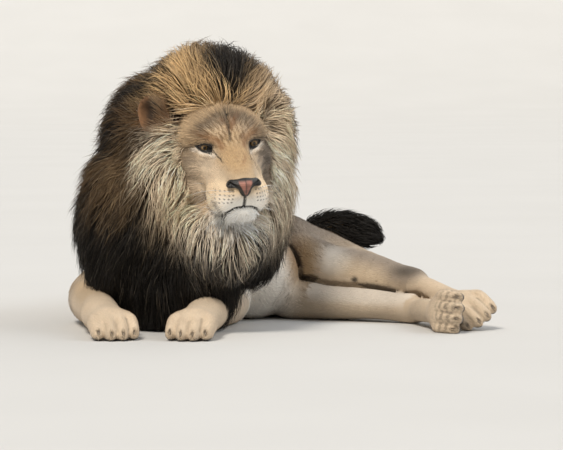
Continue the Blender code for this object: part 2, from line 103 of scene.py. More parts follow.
TAIL_TUFT = [
    (0.326, 1.190, 0.138, 0.019, 0.020), (0.355, 1.130, 0.178, 0.031, 0.032),
    (0.420, 1.085, 0.188, 0.041, 0.042), (0.480, 1.050, 0.172, 0.041, 0.044),
    (0.505, 1.040, 0.163, 0.028, 0.030),
]
NECK = [
    (0.100, 0.020, 0.440, 0.150, 0.150), (0.050, 0.200, 0.430, 0.165, 0.155),
    (0.020, 0.370, 0.370, 0.150, 0.150),
]
MANE_BALLS = [
    ((0.100, 0.030, 0.530), (0.165, 0.170, 0.138)),  # crown
    ((-0.005, 0.090, 0.440), (0.150, 0.190, 0.170)),  # behind the right ear
    ((0.196, 0.055, 0.440), (0.108, 0.150, 0.170)),  # behind the left ear
    ((0.035, -0.050, 0.345), (0.135, 0.130, 0.165)),  # ruff on the right cheek
    ((0.212, -0.005, 0.335), (0.092, 0.120, 0.165)),  # ruff on the left cheek
    ((0.135, -0.130, 0.245), (0.118, 0.105, 0.130)),  # throat
    ((-0.055, 0.080, 0.240), (0.160, 0.210, 0.235)),  # right shoulder
    ((0.035, -0.010, 0.130), (0.150, 0.130, 0.165)),  # chest
    ((0.176, 0.060, 0.230), (0.108, 0.150, 0.140)),  # left shoulder
    ((0.240, -0.025, 0.480), (0.060, 0.085, 0.095)),  # before the left ear
]
MANE_BED = ((0.238, -0.010, 0.474), (0.040, 0.060, 0.074))  # holds the locks before the left ear
WHISKER_ROWS = 4
WHISKERS_IN_ROW = 6
# Lines on the face, as X and Z on the head; they are laid on its surface.
FACE_LINES = {
    "philtrum": [(0, -0.084), (0, -0.091), (0, -0.100), (0, -0.110), (0, -0.116)],
    "mouth_edge": [(0.038, -0.131), (0.047, -0.127), (0.055, -0.118), (0.061, -0.107)],
    "forehead": [(0.004, 0.064), (-0.002, 0.053), (-0.001, 0.042), (-0.003, 0.030), (-0.006, 0.018)],
    "cheek_fold": [(0.037, -0.013), (0.039, -0.026), (0.045, -0.042), (0.052, -0.058), (0.058, -0.073)],
    "corner": [(0.043, -0.004), (0.040, -0.009), (0.0365, -0.016), (0.033, -0.022)],
    "under_eye": [(0.041, -0.0165), (0.048, -0.0150), (0.057, -0.0150), (0.066, -0.0115), (0.075, -0.0040)],
    "under_line": [(0.043, -0.0185), (0.056, -0.0225), (0.071, -0.0190)],
    "upper_line": [(0.041, 0.0075), (0.056, 0.0130), (0.072, 0.0120)],
    "brow": [(0.025, 0.004), (0.032, 0.018), (0.052, 0.025)],
    "whiskers": [(0.026 + 0.0080 * place + 0.0015 * row, -0.076 - 0.0088 * row - 0.0010 * place)
                 for row in range(WHISKER_ROWS) for place in range(WHISKERS_IN_ROW)],
}
# Where the skin is made finer along the folds between the hind legs: centres and radii.
FOLD_BALLS = [
    ((0.300, 0.330, 0.110), 0.070), ((0.370, 0.340, 0.080), 0.060), ((0.430, 0.300, 0.070), 0.055),
    ((0.490, 0.270, 0.065), 0.055), ((0.550, 0.230, 0.060), 0.060),
]

# What the operators hand on: the skin, and the folds between the legs.
GROWN = {}
# The nodes that the skin stands for.
FLESH = [
    "head", "ear_left", "ear_right", "mane_ruff", "mane_neck", "mane_chest", "mane_shoulder",
    "ribcage", "hindquarters", "tail_root", "tail_middle", "tail_tuft",
    *(f"{part}_{side}" for side in SIDES for part in (
        "upper_arm", "forearm", "forepaw", "thigh", "shank", "hindpaw")),
]

# Markings on the body and the mane, with painted shade and a painted highlight among them. A spot's row is
# its colour, how much of it, and its centre, radii and softness; the others are lines.
HAUNCH_SPOTS = [
    ("grey_brown", 0.85, (0.290, 0.600, 0.225), (0.150, 0.240, 0.070), 0.7),
    ("dark", 0.50, (0.270, 0.620, 0.235), (0.140, 0.240, 0.070), 0.8),
    ("cream", 0.55, (0.440, 0.340, 0.110), (0.150, 0.170, 0.060), 0.8),
    ("white", 0.75, (0.215, 0.250, 0.080), (0.085, 0.200, 0.110), 0.5),
]
SHANK_RIDGE = [
    (0.330, 0.460, 0.220), (0.375, 0.375, 0.190), (0.440, 0.335, 0.168), (0.520, 0.290, 0.146),
    (0.585, 0.245, 0.118),
]
KNEE_SPOTS = [
    # painted highlight: a pale patch where the light falls on the knee
    ("white", 0.45, (0.378, 0.325, 0.140), (0.045, 0.070, 0.034), 0.8),
    ("gold", 0.95, (0.316, 0.345, 0.142), (0.042, 0.090, 0.062), 0.7),
    ("rust", 0.35, (0.296, 0.350, 0.150), (0.022, 0.080, 0.050), 0.7),
]
LIMB_SPOTS = [
    # painted shade: greyer and darker low on the lower shank, by the floor
    ("grey_brown", 0.40, (0.450, 0.220, 0.035), (0.200, 0.150, 0.050), 0.7),
    ("grey_brown", 0.75, ELBOW["right"], (0.075, 0.085, 0.075), 0.5),
    ("grey_brown", 0.80, (0.572, 0.245, 0.114), (0.048, 0.050, 0.026), 0.6),  # hock
    ("dark", 0.75, (0.570, 0.245, 0.120), (0.032, 0.040, 0.012), 0.8),
    # painted shade: a thin black line where the upper shank lies on the lower one
    ("black", 0.90, (0.446, 0.300, 0.098), (0.009, 0.040, 0.008), 0.4),
]
RUFF_SPOTS = [
    ("crown", 1.00, (0.095, -0.060, 0.575), (0.160, 0.160, 0.110), 0.35),
    ("ruff", 1.00, (0.118, -0.130, 0.365), (0.172, 0.230, 0.190), 0.20),
    ("ruff", 1.00, (0.145, -0.150, 0.215), (0.075, 0.130, 0.075), 0.35),
    ("ruff", 0.90, (0.250, -0.040, 0.400), (0.075, 0.130, 0.200), 0.35),
    ("ruff", 0.95, (-0.010, -0.070, 0.375), (0.062, 0.120, 0.095), 0.40),
    ("white", 0.26, (0.000, -0.110, 0.395), (0.060, 0.120, 0.085), 0.6),
    ("white", 0.34, (0.235, -0.060, 0.330), (0.070, 0.130, 0.130), 0.6),
    ("white", 0.34, (0.140, -0.170, 0.230), (0.090, 0.120, 0.090), 0.6),
    ("crown", 0.90, (0.110, -0.150, 0.570), (0.140, 0.110, 0.075), 0.5),
]
TOP_SPOTS = [
    ("brown", 0.45, (0.235, -0.060, 0.585), (0.060, 0.130, 0.070), 0.6),
    ("dark", 1.00, (0.150, -0.020, 0.650), (0.078, 0.130, 0.058), 0.5),
    ("black", 0.95, (0.143, -0.030, 0.618), (0.064, 0.150, 0.046), 0.35),
]
TOP_PARTING = [(0.170, -0.010, 0.640), (0.163, -0.110, 0.580), (0.158, -0.175, 0.525)]
BEHIND_EAR = [(-0.045, 0.000, 0.610), (-0.105, 0.020, 0.520), (-0.140, 0.030, 0.400)]

# How deep the coat is over the skin, and how fine the meshes are.
FAR = 0.2  # the largest depth that matters
FLOOR = 0.0006  # where what lies on the floor ends
LIP_OPEN = 0.0024  # half the cut between the lips
BODY_COAT = 0.006
LEG_COAT = 0.0045
PAW_COAT = 0.0025
FACE_COAT = 0.003
MANE_DEPTH = 0.045
TUFT_DEPTH = 0.020
SKIN_STEP = 0.0100
FIELD_STEP = 0.010
NOSE_STEP = 0.0013

# The opening between the lids, and what the eye shows in it.
LID_TILT = 12.0
LID_WIDE = 0.0164
LID_HIGH = 0.0054
LID_LOW = 0.0064
LID_FLARE = 0.30
LID_REACH = 0.036
LID_THICK = 0.0030
SOCKET_GAP = 0.0022
GAZE_DOWN = 4.0
GAZE_ASIDE = 4.0
CORNEA_EDGE = 0.62  # an angle
CORNEA_RISE = 0.0011
EYE_PLAY = 0.0003
PUPIL = 0.150  # shares of the eyeball's radius
IRIS = 0.480

# The streaks' noise on the skin: how often it changes along and round the body's lines, in a metre, and
# how far it moves on from one line to the next.
STREAKS_ALONG = 90
STREAKS_ROUND = 420
TRACKS_APART = 9.0

# Tufts, locks and claws.
PATCH = 0.003  # a tuft's share of the unwrap, across
MOST_IN_PIECE = 190000  # triangles
LOCK_STEPS = 4
LOCK_TAPER = (0.90, 1.00, 0.95, 0.70, 0)
# A lock's tones from root to tip: painted shade, darkest at the root deep in the mane, lighter at the tip.
LOCK_PAINTED_SHADE = (0.62, 0.88, 1.06, 1.12, 1.20)  # from root to tip
LOCK_PAINTED_SHADE_BY_FACE = 1.08
TAIL_DENSITY = 60000.0  # locks on a square metre
TAIL_LOCK_WIDTH = 0.0022
TAIL_TAPER = (0.8, 1, 1, 0.7, 0)
# Tones of the tail tuft's locks from root to tip: painted shade, darkest at the root.
TAIL_PAINTED_SHADE = (0.6, 0.8, 1, 1.2, 1.4)
TUFT_START = 0.0012  # how deep in the skin a tuft of the short coat begins
FACE_STAND = 0.24  # how far a tuft's tip stands off the skin, for its length
BODY_STAND = 0.15
# Tones of a short-coat tuft at root and tip: painted shade, a little darker at the root.
TUFT_PAINTED_SHADE = (0.92, 1.12)  # at its root and its tip
CLAW_STEPS = 9
CLAW_SIDES = 10

# The stage: a round floor, flat out to a radius and swept up past it, and the view.
FLAT = 22.0
SWEEP = 16.0
VIEW_TARGET = (0.270, 0, 0.244)
VIEW_RAISED = 3.0
VIEW_AWAY = 8.0
VIEW_WIDE = 1.309  # metres across at the target
SENSOR = 36.0
LIGHTS = [  # name, place, spread in degrees, power and colour
    ("key", (-1.5, -3.7, 5.0), 16.0, 2.8, (1.0, 0.94, 0.85)),
    ("fill", (3.5, -0.8, 3.0), 40.0, 1.0, (0.92, 0.96, 1.0)),
    ("back", (2.5, 4.0, 4.0), 40.0, 0.5, (1.0, 0.97, 0.92)),
]
SKY = (0.86, 0.90, 0.96, 1)
SKY_POWER = 0.50


# Shapes, each a distance from its surface, below 0 inside.


def soft_min(a, b, soft):
    """The smaller of two distances, less soft/4 * h^2 where h falls from 1 to 0 as they part by soft."""
    h = np.maximum(1 - np.abs(a - b) / soft, 0)
    return np.minimum(a, b) - h * h * soft / 4


def length_of(v):
    return np.sqrt(np.einsum("...i,...i", v, v))


def unit(v):
    """Each row over its length."""
    return v / np.maximum(length_of(v), 1e-9)[..., None]


def turned(degrees):
    """Turns about X, then Y, then Z."""
    return Euler([math.radians(a) for a in degrees], "XYZ").to_matrix().to_4x4()


def along_line(p, start, along):
    """For each place, the share of the way along a line and the place off it."""
    d = p - start
    t = np.clip(d @ along / (along @ along), 0, 1)
    return t, d - t[:, None] * along


def moved(p, matrix):
    """Places carried by a matrix."""
    matrix = np.array(matrix)
    return p @ matrix[:3, :3].T + matrix[:3, 3]


def through(stations, steps):
    """Catmull-Rom rows between the stations, whose columns are places and sizes."""
    rows = np.array(stations, float)
    ends = np.vstack([2 * rows[0] - rows[1], rows, 2 * rows[-1] - rows[-2]])
    a, b, c, d = (ends[i : len(ends) - 3 + i, None] for i in range(4))
    t = (np.arange(steps) / steps)[None, :, None]
    bend = (2 * a - 5 * b + 4 * c - d) * t**2 + (3 * b - a - 3 * c + d) * t**3
    found = b + ((c - a) * t + bend) / 2
    return np.vstack([found.reshape(-1, rows.shape[1]), rows[-1]])


class Ball:
    """An ellipsoid. With k0 = |p / r| and k1 = |p / r^2|, its distance is about k0 (k0 - 1) / k1."""

    def __init__(self, centre, radii, turn=(0, 0, 0), place=Matrix.Identity(4)):
        spin = np.array(place @ Matrix.Translation(centre) @ turned(turn))
        self.centre, self.axes = spin[:3, 3], spin[:3, :3]
        self.radii = np.array(radii)
        half = length_of(self.axes * self.radii)
        self.low, self.high = self.centre - half, self.centre + half

    def depth(self, p):
        q = (p - self.centre) @ self.axes / self.radii
        k0 = length_of(q)
        return k0 * (k0 - 1) / np.maximum(length_of(q / self.radii), 1e-6)


class Tube:
    """A round-ended tube of elliptic section. In each length, with q the place off the axis over the half
    widths there, the distance is that off the axis times 1 - 1/|q|, and the smallest one counts."""

    def __init__(self, stations, up=(0, 0, 1), steps=4, place=None, thin=0.0):
        rows = through(stations, steps)
        self.points = rows[:, :3]
        if place is not None:
            self.points = moved(self.points, place)
            up = np.array(place)[:3, :3] @ np.array(up, float)
        self.sizes = np.maximum(rows[:, 3:] - thin, 0.002)
        self.along = np.diff(self.points, axis=0)
        self.side = unit(np.cross(unit(self.along), up))
        self.top = np.cross(self.side, unit(self.along))
        reach = self.sizes.max(1)[:, None]
        self.low, self.high = (self.points - reach).min(0), (self.points + reach).max(0)

    def depth(self, p):
        best = np.full(len(p), np.inf)
        for i, along in enumerate(self.along):
            t, off = along_line(p, self.points[i], along)
            size = self.sizes[i] + t[:, None] * (self.sizes[i + 1] - self.sizes[i])
            q = np.stack([
                off @ self.side[i] / size[:, 0],
                off @ self.top[i] / size[:, 1],
                off @ unit(along) / size.mean(1),
            ], 1)
            best = np.minimum(best, length_of(off) * (1 - 1 / np.maximum(length_of(q), 1e-6)))
        return best


def eye_centre(side):
    return Vector((EYE_CENTRE.x * side, EYE_CENTRE.y, EYE_CENTRE.z))


class Almond:
    """The opening between an eye's lids: two arcs that meet in the corners, wider with the distance before
    the eyeball, and nothing inside the eyeball. Each arc is a circle through both corners."""

    def __init__(self, side):
        tilt = np.array(turned((0, -LID_TILT * side, 0)))[:3, :3]
        self.centre = np.array(HEAD @ eye_centre(side))
        self.axes = np.array(HEAD)[:3, :3] @ tilt
        self.low, self.high = self.centre - 0.06, self.centre + 0.06

    def depth(self, p):
        x, y, z = ((p - self.centre) @ self.axes).T
        ahead = -y
        grow = LID_FLARE * np.maximum(ahead - EYE_RADIUS, 0)
        arcs = []
        for half_height, way in ((LID_HIGH, 1), (LID_LOW, -1)):
            radius = (LID_WIDE**2 + half_height**2) / (2 * half_height)
            arcs.append(np.hypot(x, z * way + radius - half_height) - radius - grow)
        lens = np.maximum(*arcs)
        ball = EYE_RADIUS - SOCKET_GAP - np.sqrt(x * x + y * y + z * z)
        return np.max([lens, ball, -ahead, ahead - LID_REACH], axis=0)


class Crease:
    """Round the curve in which two surfaces cross: what is less than width from both."""

    def __init__(self, one, other, width):
        self.one, self.other, self.width = one, other, width
        self.low, self.high = np.maximum(one.low, other.low) - width, np.minimum(one.high, other.high) + width

    def depth(self, p):
        return np.maximum(np.abs(self.one.depth(p)), np.abs(self.other.depth(p))) - self.width


class Within:
    """What two shapes share."""

    def __init__(self, one, other):
        self.one, self.other = one, other
        self.low, self.high = other.low, other.high

    def depth(self, p):
        return np.maximum(self.one.depth(p), self.other.depth(p))


class Below:
    """All that is under the floor."""

    low, high = np.full(3, -9.0), np.array([9.0, 9.0, 0.02])

    def depth(self, p):
        return p[:, 2] - FLOOR


class Grown:
    """Shapes grown together with a soft minimum, less what is carved out of them, and thinned by inset."""

    def __init__(self, parts, soft, carved=(), edge=0.004, inset=0.0):
        self.parts, self.soft, self.carved, self.edge, self.inset = parts, soft, carved, edge, inset
        self.low = np.min([part.low for part in parts], 0)
        self.high = np.max([part.high for part in parts], 0)

    def depth(self, p):
        found = np.full(len(p), FAR)
        if not len(p):
            return found
        low, high = p.min(0), p.max(0)
        margin = 0.03 + self.soft + self.inset
        for part in self.parts:
            if (part.low - margin < high).all() and (part.high + margin > low).all():
                near = ((p > part.low - margin) & (p < part.high + margin)).all(1)
                found[near] = soft_min(found[near], part.depth(p[near]), self.soft)
        found += self.inset
        for part in self.carved:
            near = ((p > part.low - 0.01) & (p < part.high + 0.01)).all(1)
            found[near] = -soft_min(-found[near], part.depth(p[near]), self.edge)
        return found

    def slope(self, p, h=0.0006):
        """The way out of the shape, from the depths at four corners of a tetrahedron round each place."""
        out = np.zeros_like(p)
        for k in np.array([(1, -1, -1), (-1, -1, 1), (-1, 1, -1), (1, 1, 1)], float):
            out += k * self.depth(p + h * k)[:, None]
        return unit(out)


class Sampled:
    """A shape's depth on an even grid, read between its points by weighing the eight corners of a cell."""

    def __init__(self, form, step, margin=3):
        self.step = step
        self.low = form.low - margin * step
        self.count = np.ceil((form.high - form.low) / step).astype(int) + 2 * margin + 1
        xs, ys, zs = (self.low[i] + step * np.arange(self.count[i]) for i in range(3))
        self.values = np.empty(self.count, np.float32)
        for j in range(0, len(ys), 8):
            block = np.stack(np.meshgrid(xs, ys[j : j + 8], zs, indexing="ij"), -1)
            self.values[:, j : j + 8] = form.depth(block.reshape(-1, 3)).reshape(block.shape[:3])

    def depth(self, p):
        q = np.clip((p - self.low) / self.step, 0, self.count - 1.001)
        cell = q.astype(int)
        part = q - cell
        flat = self.values.ravel()
        row = self.count[2]
        start = (cell[:, 0] * self.count[1] + cell[:, 1]) * row + cell[:, 2]
        found = np.zeros(len(p))
        for i in range(8):
            a, b, c = i & 1, i >> 1 & 1, i >> 2
            weight = np.abs(1 - a - part[:, 0]) * np.abs(1 - b - part[:, 1]) * np.abs(1 - c - part[:, 2])
            found += weight * flat[start + (a * self.count[1] + b) * row + c]
        return found

    slope = Grown.slope

    def surface(self):
        """The zero level as points and quads."""
        grid = openvdb.FloatGrid(FAR)
        grid.copyFromArray(np.clip(self.values, -FAR, FAR))
        points, _, quads = grid.convertToPolygons(isovalue=0.0, adaptivity=0.0)
        return self.low + self.step * points.astype(float), quads


# The body's shapes.


def both(centre, radii, turn=(0, 0, 0)):
    """A ball on the head and its mirror image."""
    x, y, z = centre
    tx, ty, tz = turn
    return [Ball((x * s, y, z), radii, (tx, ty * s, tz * s), HEAD) for s in (1, -1)]


def beside(points):
    """The same points on the other side of the head."""
    return [(-x, *rest) for x, *rest in points]


def groove(points, radius):
    return Tube([(*p, radius, radius) for p in points], steps=3, place=HEAD)


def ear_frame(side):
    """Where an ear stands on the head: its hollow faces forwards and outwards."""
    spread = Matrix.Rotation(math.radians(EAR_SPREAD[side]), 4, "Z")
    lean = Matrix.Rotation(math.radians(20 * side), 4, "Y")
    return HEAD @ Matrix.Translation(EAR_PLACE[side]) @ spread @ lean


def ear_form(side):
    """A round-topped hood on a stalk, with a deep hollow and a fold on its outer edge."""
    place = ear_frame(side)
    return Grown(
        [
            Ball((0, 0, 0), (0.037, 0.018, 0.039), place=place),
            Ball((-0.005 * side, 0.006, -0.028), (0.030, 0.022, 0.030), place=place),
            Ball((0.026 * side, -0.009, -0.020), (0.008, 0.008, 0.016), (0, 12 * side, 0), place),
        ],
        0.009,
        [Ball((0.002 * side, -0.020, 0.003), (0.028, 0.029, 0.031), place=place)],
        0.004,
    )


def jaw_form():
    """Lower jaw and chin."""
    return Grown([
        Tube([
            (0, 0.080, -0.124, 0.062, 0.036), (0, -0.020, -0.127, 0.055, 0.027),
            (0, -0.074, -0.127, 0.049, 0.022),
        ], place=HEAD),
        Ball((0, -0.096, -0.127), (0.047, 0.036, 0.023), place=HEAD),
    ], 0.014, inset=FACE_COAT)


def upper_form():
    """Skull, brows, cheeks, muzzle, whisker pads and the lids' bulge."""
    lid = (EYE_RADIUS + LID_THICK + FACE_COAT,) * 3
    skull = Grown([
        Ball((0, 0.110, 0.006), (0.088, 0.130, 0.078), place=HEAD),
        Ball((0, 0.040, 0.024), (0.074, 0.085, 0.044), (12, 0, 0), HEAD),
        *both((0.050, 0.014, 0.026), (0.036, 0.030, 0.018), (0, 14, 16)),
        *both((0.076, 0.070, -0.046), (0.040, 0.080, 0.058), (0, 0, -10)),
        *both((0.062, 0.070, -0.098), (0.046, 0.085, 0.052)),
        *both((0.056, 0.002, -0.040), (0.036, 0.045, 0.032), (14, 0, -14)),
        *both((0.034, -0.052, -0.058), (0.030, 0.060, 0.034), (18, 0, -10)),
        Tube([
            (0, 0.030, 0.012, 0.046, 0.030), (0, -0.020, -0.006, 0.040, 0.032),
            (0, -0.080, -0.034, 0.038, 0.030), (0, -0.126, -0.055, 0.034, 0.021),
        ], place=HEAD),
        Tube([
            (0, 0.020, -0.070, 0.070, 0.052), (0, -0.050, -0.082, 0.060, 0.045),
            (0, -0.100, -0.092, 0.050, 0.034),
        ], place=HEAD),
    ], 0.022)
    pads = Grown([
        *both((0.035, -0.080, -0.095), (0.036, 0.052, 0.036), (0, 12, -12)),
        *both((0.018, -0.126, -0.086), (0.026, 0.025, 0.022)),
        *both((0.029, -0.114, -0.097), (0.022, 0.028, 0.022)),
        *both((0.041, -0.094, -0.110), (0.027, 0.040, 0.025), (0, 14, -10)),
    ], 0.010)
    return Grown([skull, pads, *both(tuple(EYE_CENTRE), lid)], 0.010, inset=FACE_COAT)


def laid_on(form, line):
    """Points given by X and Z on the head, moved back from before it to the form's surface."""
    x, z = np.array(line, float).T
    y = np.linspace(-0.20, 0.10, 601)
    q = np.stack(np.broadcast_arrays(x[:, None], y, z[:, None]), -1)
    inside = form.depth(moved(q.reshape(-1, 3), HEAD)).reshape(q.shape[:2]) < 0
    return [tuple(row) for row in np.column_stack([x, y[inside.argmax(1)], z])]


class Face:
    """The face's shapes and the lines that are cut into it, made once."""

    made = None

    def __init__(self):
        upper, jaw = upper_form(), jaw_form()
        solid = Grown([upper, jaw], 0.003)
        self.lips = Crease(upper, jaw, LIP_OPEN)
        self.lines = {name: laid_on(solid, line) for name, line in FACE_LINES.items()}
        mouth = Ball((0, -0.100, -0.115), (0.085, 0.075, 0.050), place=HEAD)
        cuts = [
            Almond(1),
            Almond(-1),
            Within(self.lips, mouth),
            groove(self.lines["philtrum"], 0.0026),
            groove(self.lines["forehead"], 0.0030),
            groove(self.lines["cheek_fold"], 0.0020),
        ]
        cut = Grown([solid], 0.001, cuts, 0.0025)
        self.form = Grown([cut, *both(EYE_CORNER, (0.0065, 0.0055, 0.0045))], 0.003)

    @classmethod
    def get(cls):
        if cls.made is None:
            cls.made = cls()
        return cls.made


def between(a, b, share):
    return Vector(a).lerp(Vector(b), share)


def on_bone(a, b, *rows):
    """Stops of a limb between two joints: the share of the way, a half width and a half height."""
    return [(between(a, b, share), wide, high) for share, wide, high in rows]


def limb(stops, up=(0, 0, 1)):
    """A tube through points, each given with a half width and half height."""
    return Tube([(*point, wide, high) for point, wide, high in stops], up, 3, thin=LEG_COAT)


def paw_frame(back, toes, dorsal):
    """+Y from the back point to the toes, +Z towards the top of the paw."""
    forward = (Vector(toes) - Vector(back)).normalized()
    side = forward.cross(Vector(dorsal)).normalized()
    turn = Matrix((side, forward, side.cross(forward))).transposed().to_4x4()
    return Matrix.Translation(toes) @ turn


def paws():
    """For each paw: its name, frame, toe slimness and side of the dewclaw, 0 for none."""
    for side, sign in SIDES.items():
        yield f"forepaw_{side}", paw_frame(WRIST[side], FORE_TOES[side], FORE_DORSAL), 1.0, sign
        frame_of = paw_frame(HOCK[side], HIND_TOES[side], HIND_DORSAL[side])
        yield f"hindpaw_{side}", frame_of, HIND_SLIM, 0


def toe_places():
    """How far aside and forwards each toe's middle lies, the middle two furthest."""
    for i in (-1.5, -0.5, 0.5, 1.5):
        yield i * TOE_SPREAD, 0.036 - 0.007 * i * i


def paw_form(place, slim, inner):
    """Toes and knuckles with clefts between them, claw slots and pads."""
    toes = []
    slots = []
    for aside, ahead in toe_places():
        x = aside * slim
        toes.append(Grown([
            Ball((x, ahead - 0.010, 0.006), (0.0190, 0.036, 0.0250), (-10, 0, 0), place),
            Ball((x, ahead + 0.019, -0.007), (0.0165, 0.0270, 0.0215), (-6, 0, 0), place),
        ], 0.012))
        slots.append(Ball((x, ahead + 0.044, -0.002), (0.0024, 0.010, 0.0070), (28, 0, 0), place))
    body = Grown([
        Ball((0, -0.012, 0.004), (0.050 * slim, 0.052, 0.033), place=place),
        Ball((0, -0.008, -0.020), (0.036, 0.028, 0.018), place=place),
    ], 0.012)
    parts = [*toes, body]
    if inner:
        parts.append(Ball((inner * 0.050, -0.072, 0.006), (0.014, 0.028, 0.015),
                          (0, 0, -12 * inner), place))
    return Grown(parts, 0.0095, slots, 0.003, PAW_COAT)


def fore_leg(side):
    """Upper arm, forearm and wrist."""
    shoulder, elbow, wrist, toes = SHOULDER[side], ELBOW[side], WRIST[side], FORE_TOES[side]
    return Grown([
        limb([
            (shoulder, 0.070, 0.080),
            *on_bone(shoulder, elbow, (0.5, 0.062, 0.070)),
            (elbow, 0.056, 0.064),
        ]),
        limb([
            *on_bone(elbow, wrist, (-0.12, 0.040, 0.046), (0.10, 0.060, 0.062), (0.40, 0.056, 0.056),
                     (0.75, 0.048, 0.048)),
            (wrist, 0.050, 0.047),
            *on_bone(wrist, toes, (0.40, 0.049, 0.042), (0.85, 0.052, 0.037)),
        ]),
    ], 0.020)


def hind_leg(side):
    """Thigh, shank, hamstring and the long foot behind the paw."""
    hip, knee, hock, toes = HIP[side], KNEE[side], HOCK[side], HIND_TOES[side]
    flat = HIND_FLAT[side]
    heel = Vector(hock) - 0.10 * (Vector(toes) - Vector(hock))
    haunch = [Ball((0.254, 0.590, 0.146), (0.116, 0.200, 0.098), (0, 0, 20))] if side == "left" else []
    return Grown([
        *haunch,
        limb([
            (hip, 0.118, 0.080 * flat),
            *on_bone(hip, knee, (0.5, 0.122, 0.082 * flat), (0.85, 0.092, 0.078 * flat)),
            (knee, 0.070, 0.072 * flat),
        ]),
        limb(on_bone(knee, hock, (-0.05, 0.074, 0.074 * flat), (0.30, 0.070, 0.066 * flat),
                     (0.65, 0.052, 0.050 * flat), (0.95, 0.035, 0.035))),
        limb([
            (between(hip, knee, 0.70) + Vector((0.065, 0.045, 0.014 * flat)), 0.080, 0.066 * flat),
            (between(knee, hock, 0.45) + Vector((0.018, 0.030, 0.016 * flat)), 0.048, 0.046 * flat),
            (heel, 0.026, 0.026),
        ]),
        limb([
            (heel, 0.028, 0.030),
            *on_bone(hock, toes, (0.25, 0.032, 0.034), (0.65, 0.034, 0.034), (0.92, 0.044, 0.034)),
        ], up=HIND_DORSAL[side]),
    ], 0.030)


def mane_form(inset=0.0):
    """The outside of the mane, out to the tips of its locks."""
    balls = [Ball(centre, radii) for centre, radii in MANE_BALLS]
    return Grown([*balls, Tube(NECK)], 0.020, inset=inset)


def body_form():
    """The whole skin: trunk, tail, neck under the mane, head, ears, legs and paws. Returned with the folds
    between the hind legs and before the upper knee."""
    trunk = Grown([
        Tube(TRUNK, thin=BODY_COAT),
        Ball((0.168, 0.820, 0.190), (0.116, 0.159, 0.106), (0, 18, 12)),
        Ball((0.172, 0.400, 0.105), (0.134, 0.194, 0.116), (0, 0, 18)),
    ], 0.040)
    paw_forms = [paw_form(place, slim, inner) for _, place, slim, inner in paws()]
    soft_parts = Grown([
        trunk, mane_form(MANE_DEPTH), Tube(TAIL, thin=0.004), Tube(TAIL_TUFT, thin=TUFT_DEPTH),
        Face.get().form, ear_form(1), ear_form(-1), Ball(*MANE_BED),
    ], 0.010)
    fore = [Grown([fore_leg(side), paw_forms[2 * i]], 0.024) for i, side in enumerate(SIDES)]
    hind = [Grown([hind_leg(side), paw_forms[2 * i + 1]], 0.020) for i, side in enumerate(SIDES)]
    flank = Ball((0.290, 0.320, 0.110), (0.085, 0.120, 0.085))
    shanks = Ball((0.470, 0.280, 0.070), (0.220, 0.200, 0.120))
    folds = [Within(Crease(hind[0], hind[1], 0.0075), shanks), Within(Crease(hind[0], trunk, 0.0060), flank)]
    return Grown([soft_parts, *fore, *hind], 0.014, [Below(), *folds], 0.004), folds


# Meshes.


def middle_of(node):
    low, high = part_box(node)
    return (low + high) / 2


SHIFT = (middle_of("eye_left") + middle_of("eye_right")) / 2 - HEAD @ Vector((0, EYE_CENTRE.y, 0))
SHIFT.z = 0.0  # from the body's own places to the solids'


def new_mesh(name, points, corners, starts=None):
    """A mesh of smooth faces. corners lists every face's vertices; starts says where each face begins."""
    corners = np.asarray(corners)
    if starts is None:
        starts = np.arange(len(corners)) * corners.shape[1]
    mesh = bpy.data.meshes.new(name)
    mesh.vertices.add(len(points))
    put_places(mesh, points)
    mesh.loops.add(corners.size)
    mesh.loops.foreach_set("vertex_index", corners.astype(np.int32).ravel())
    mesh.polygons.add(len(starts))
    mesh.polygons.foreach_set("loop_start", starts.astype(np.int32))
    mesh.update(calc_edges=True)
    mesh.validate()
    return mesh


def read_all(items, name, width, kind=np.float32):
    """A property of every one of a mesh's items, a row for each."""
    found = np.empty(len(items) * width, kind)
    items.foreach_get(name, found)
    return found.reshape(-1, width)


def places_in(mesh):
    """The mesh's vertices in the body's own places."""
    return read_all(mesh.vertices, "co", 3).astype(float) - np.array(SHIFT)


def put_places(mesh, p):
    mesh.vertices.foreach_set("co", (p + np.array(SHIFT)).astype(np.float32).ravel())


def edges_in(mesh):
    return read_all(mesh.edges, "vertices", 2, np.int32)


def mean_of_neighbours(values, edges):
    """For each vertex, the mean of the values at the other ends of its edges."""
    ends = np.concatenate([edges, edges[:, ::-1]])
    count = np.maximum(np.bincount(ends[:, 0], minlength=len(values)), 1)
    sums = [np.bincount(ends[:, 0], column[ends[:, 1]], len(values)) for column in values.T]
    return np.stack(sums, 1) / count[:, None]


def store(mesh, name, values, kind="FLOAT_COLOR"):
    """Keeps one value for each vertex: a colour, a vector or a number."""
    layer = mesh.attributes.new(name, kind, "POINT")
    if kind == "FLOAT_COLOR":
        values = np.concatenate([values, np.ones((len(values), 1))], 1)
    key = {"FLOAT_COLOR": "color", "FLOAT_VECTOR": "vector", "FLOAT": "value"}[kind]
    layer.data.foreach_set(key, np.asarray(values, np.float32).ravel())


def add_piece(mesh, finish, slot, *nodes, smooth=True):
    """Shows a mesh as a piece of the body, in place of the CAD nodes it stands for."""
    piece = bpy.data.objects.new(mesh.name, mesh)
    bpy.context.scene.collection.objects.link(piece)
    mesh.materials.append(finish)
    mesh.polygons.foreach_set("use_smooth", np.full(len(mesh.polygons), smooth))
    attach(piece, "root")
    if nodes:
        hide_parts(*nodes)
    return piece


def on_form(form, p, most=0.006):
    """Places moved along the slope by their depth, at most so far, onto the form's surface."""
    return p - np.clip(form.depth(p), -most, most)[:, None] * form.slope(p)


def head_places(p):
    """Places of the body in the head's own."""
    return moved(p, HEAD.inverted())


def folded(q):
    """Head places with both sides on the left one."""
    return np.column_stack([np.abs(q[:, 0]), q[:, 1:]])


def near_any(p, balls):
    """True where a place is within the radius of any of the (centre, radius) balls."""
    found = np.zeros(len(p), bool)
    for centre, radius in balls:
        found |= length_of(p - np.array(centre)) < radius
    return found


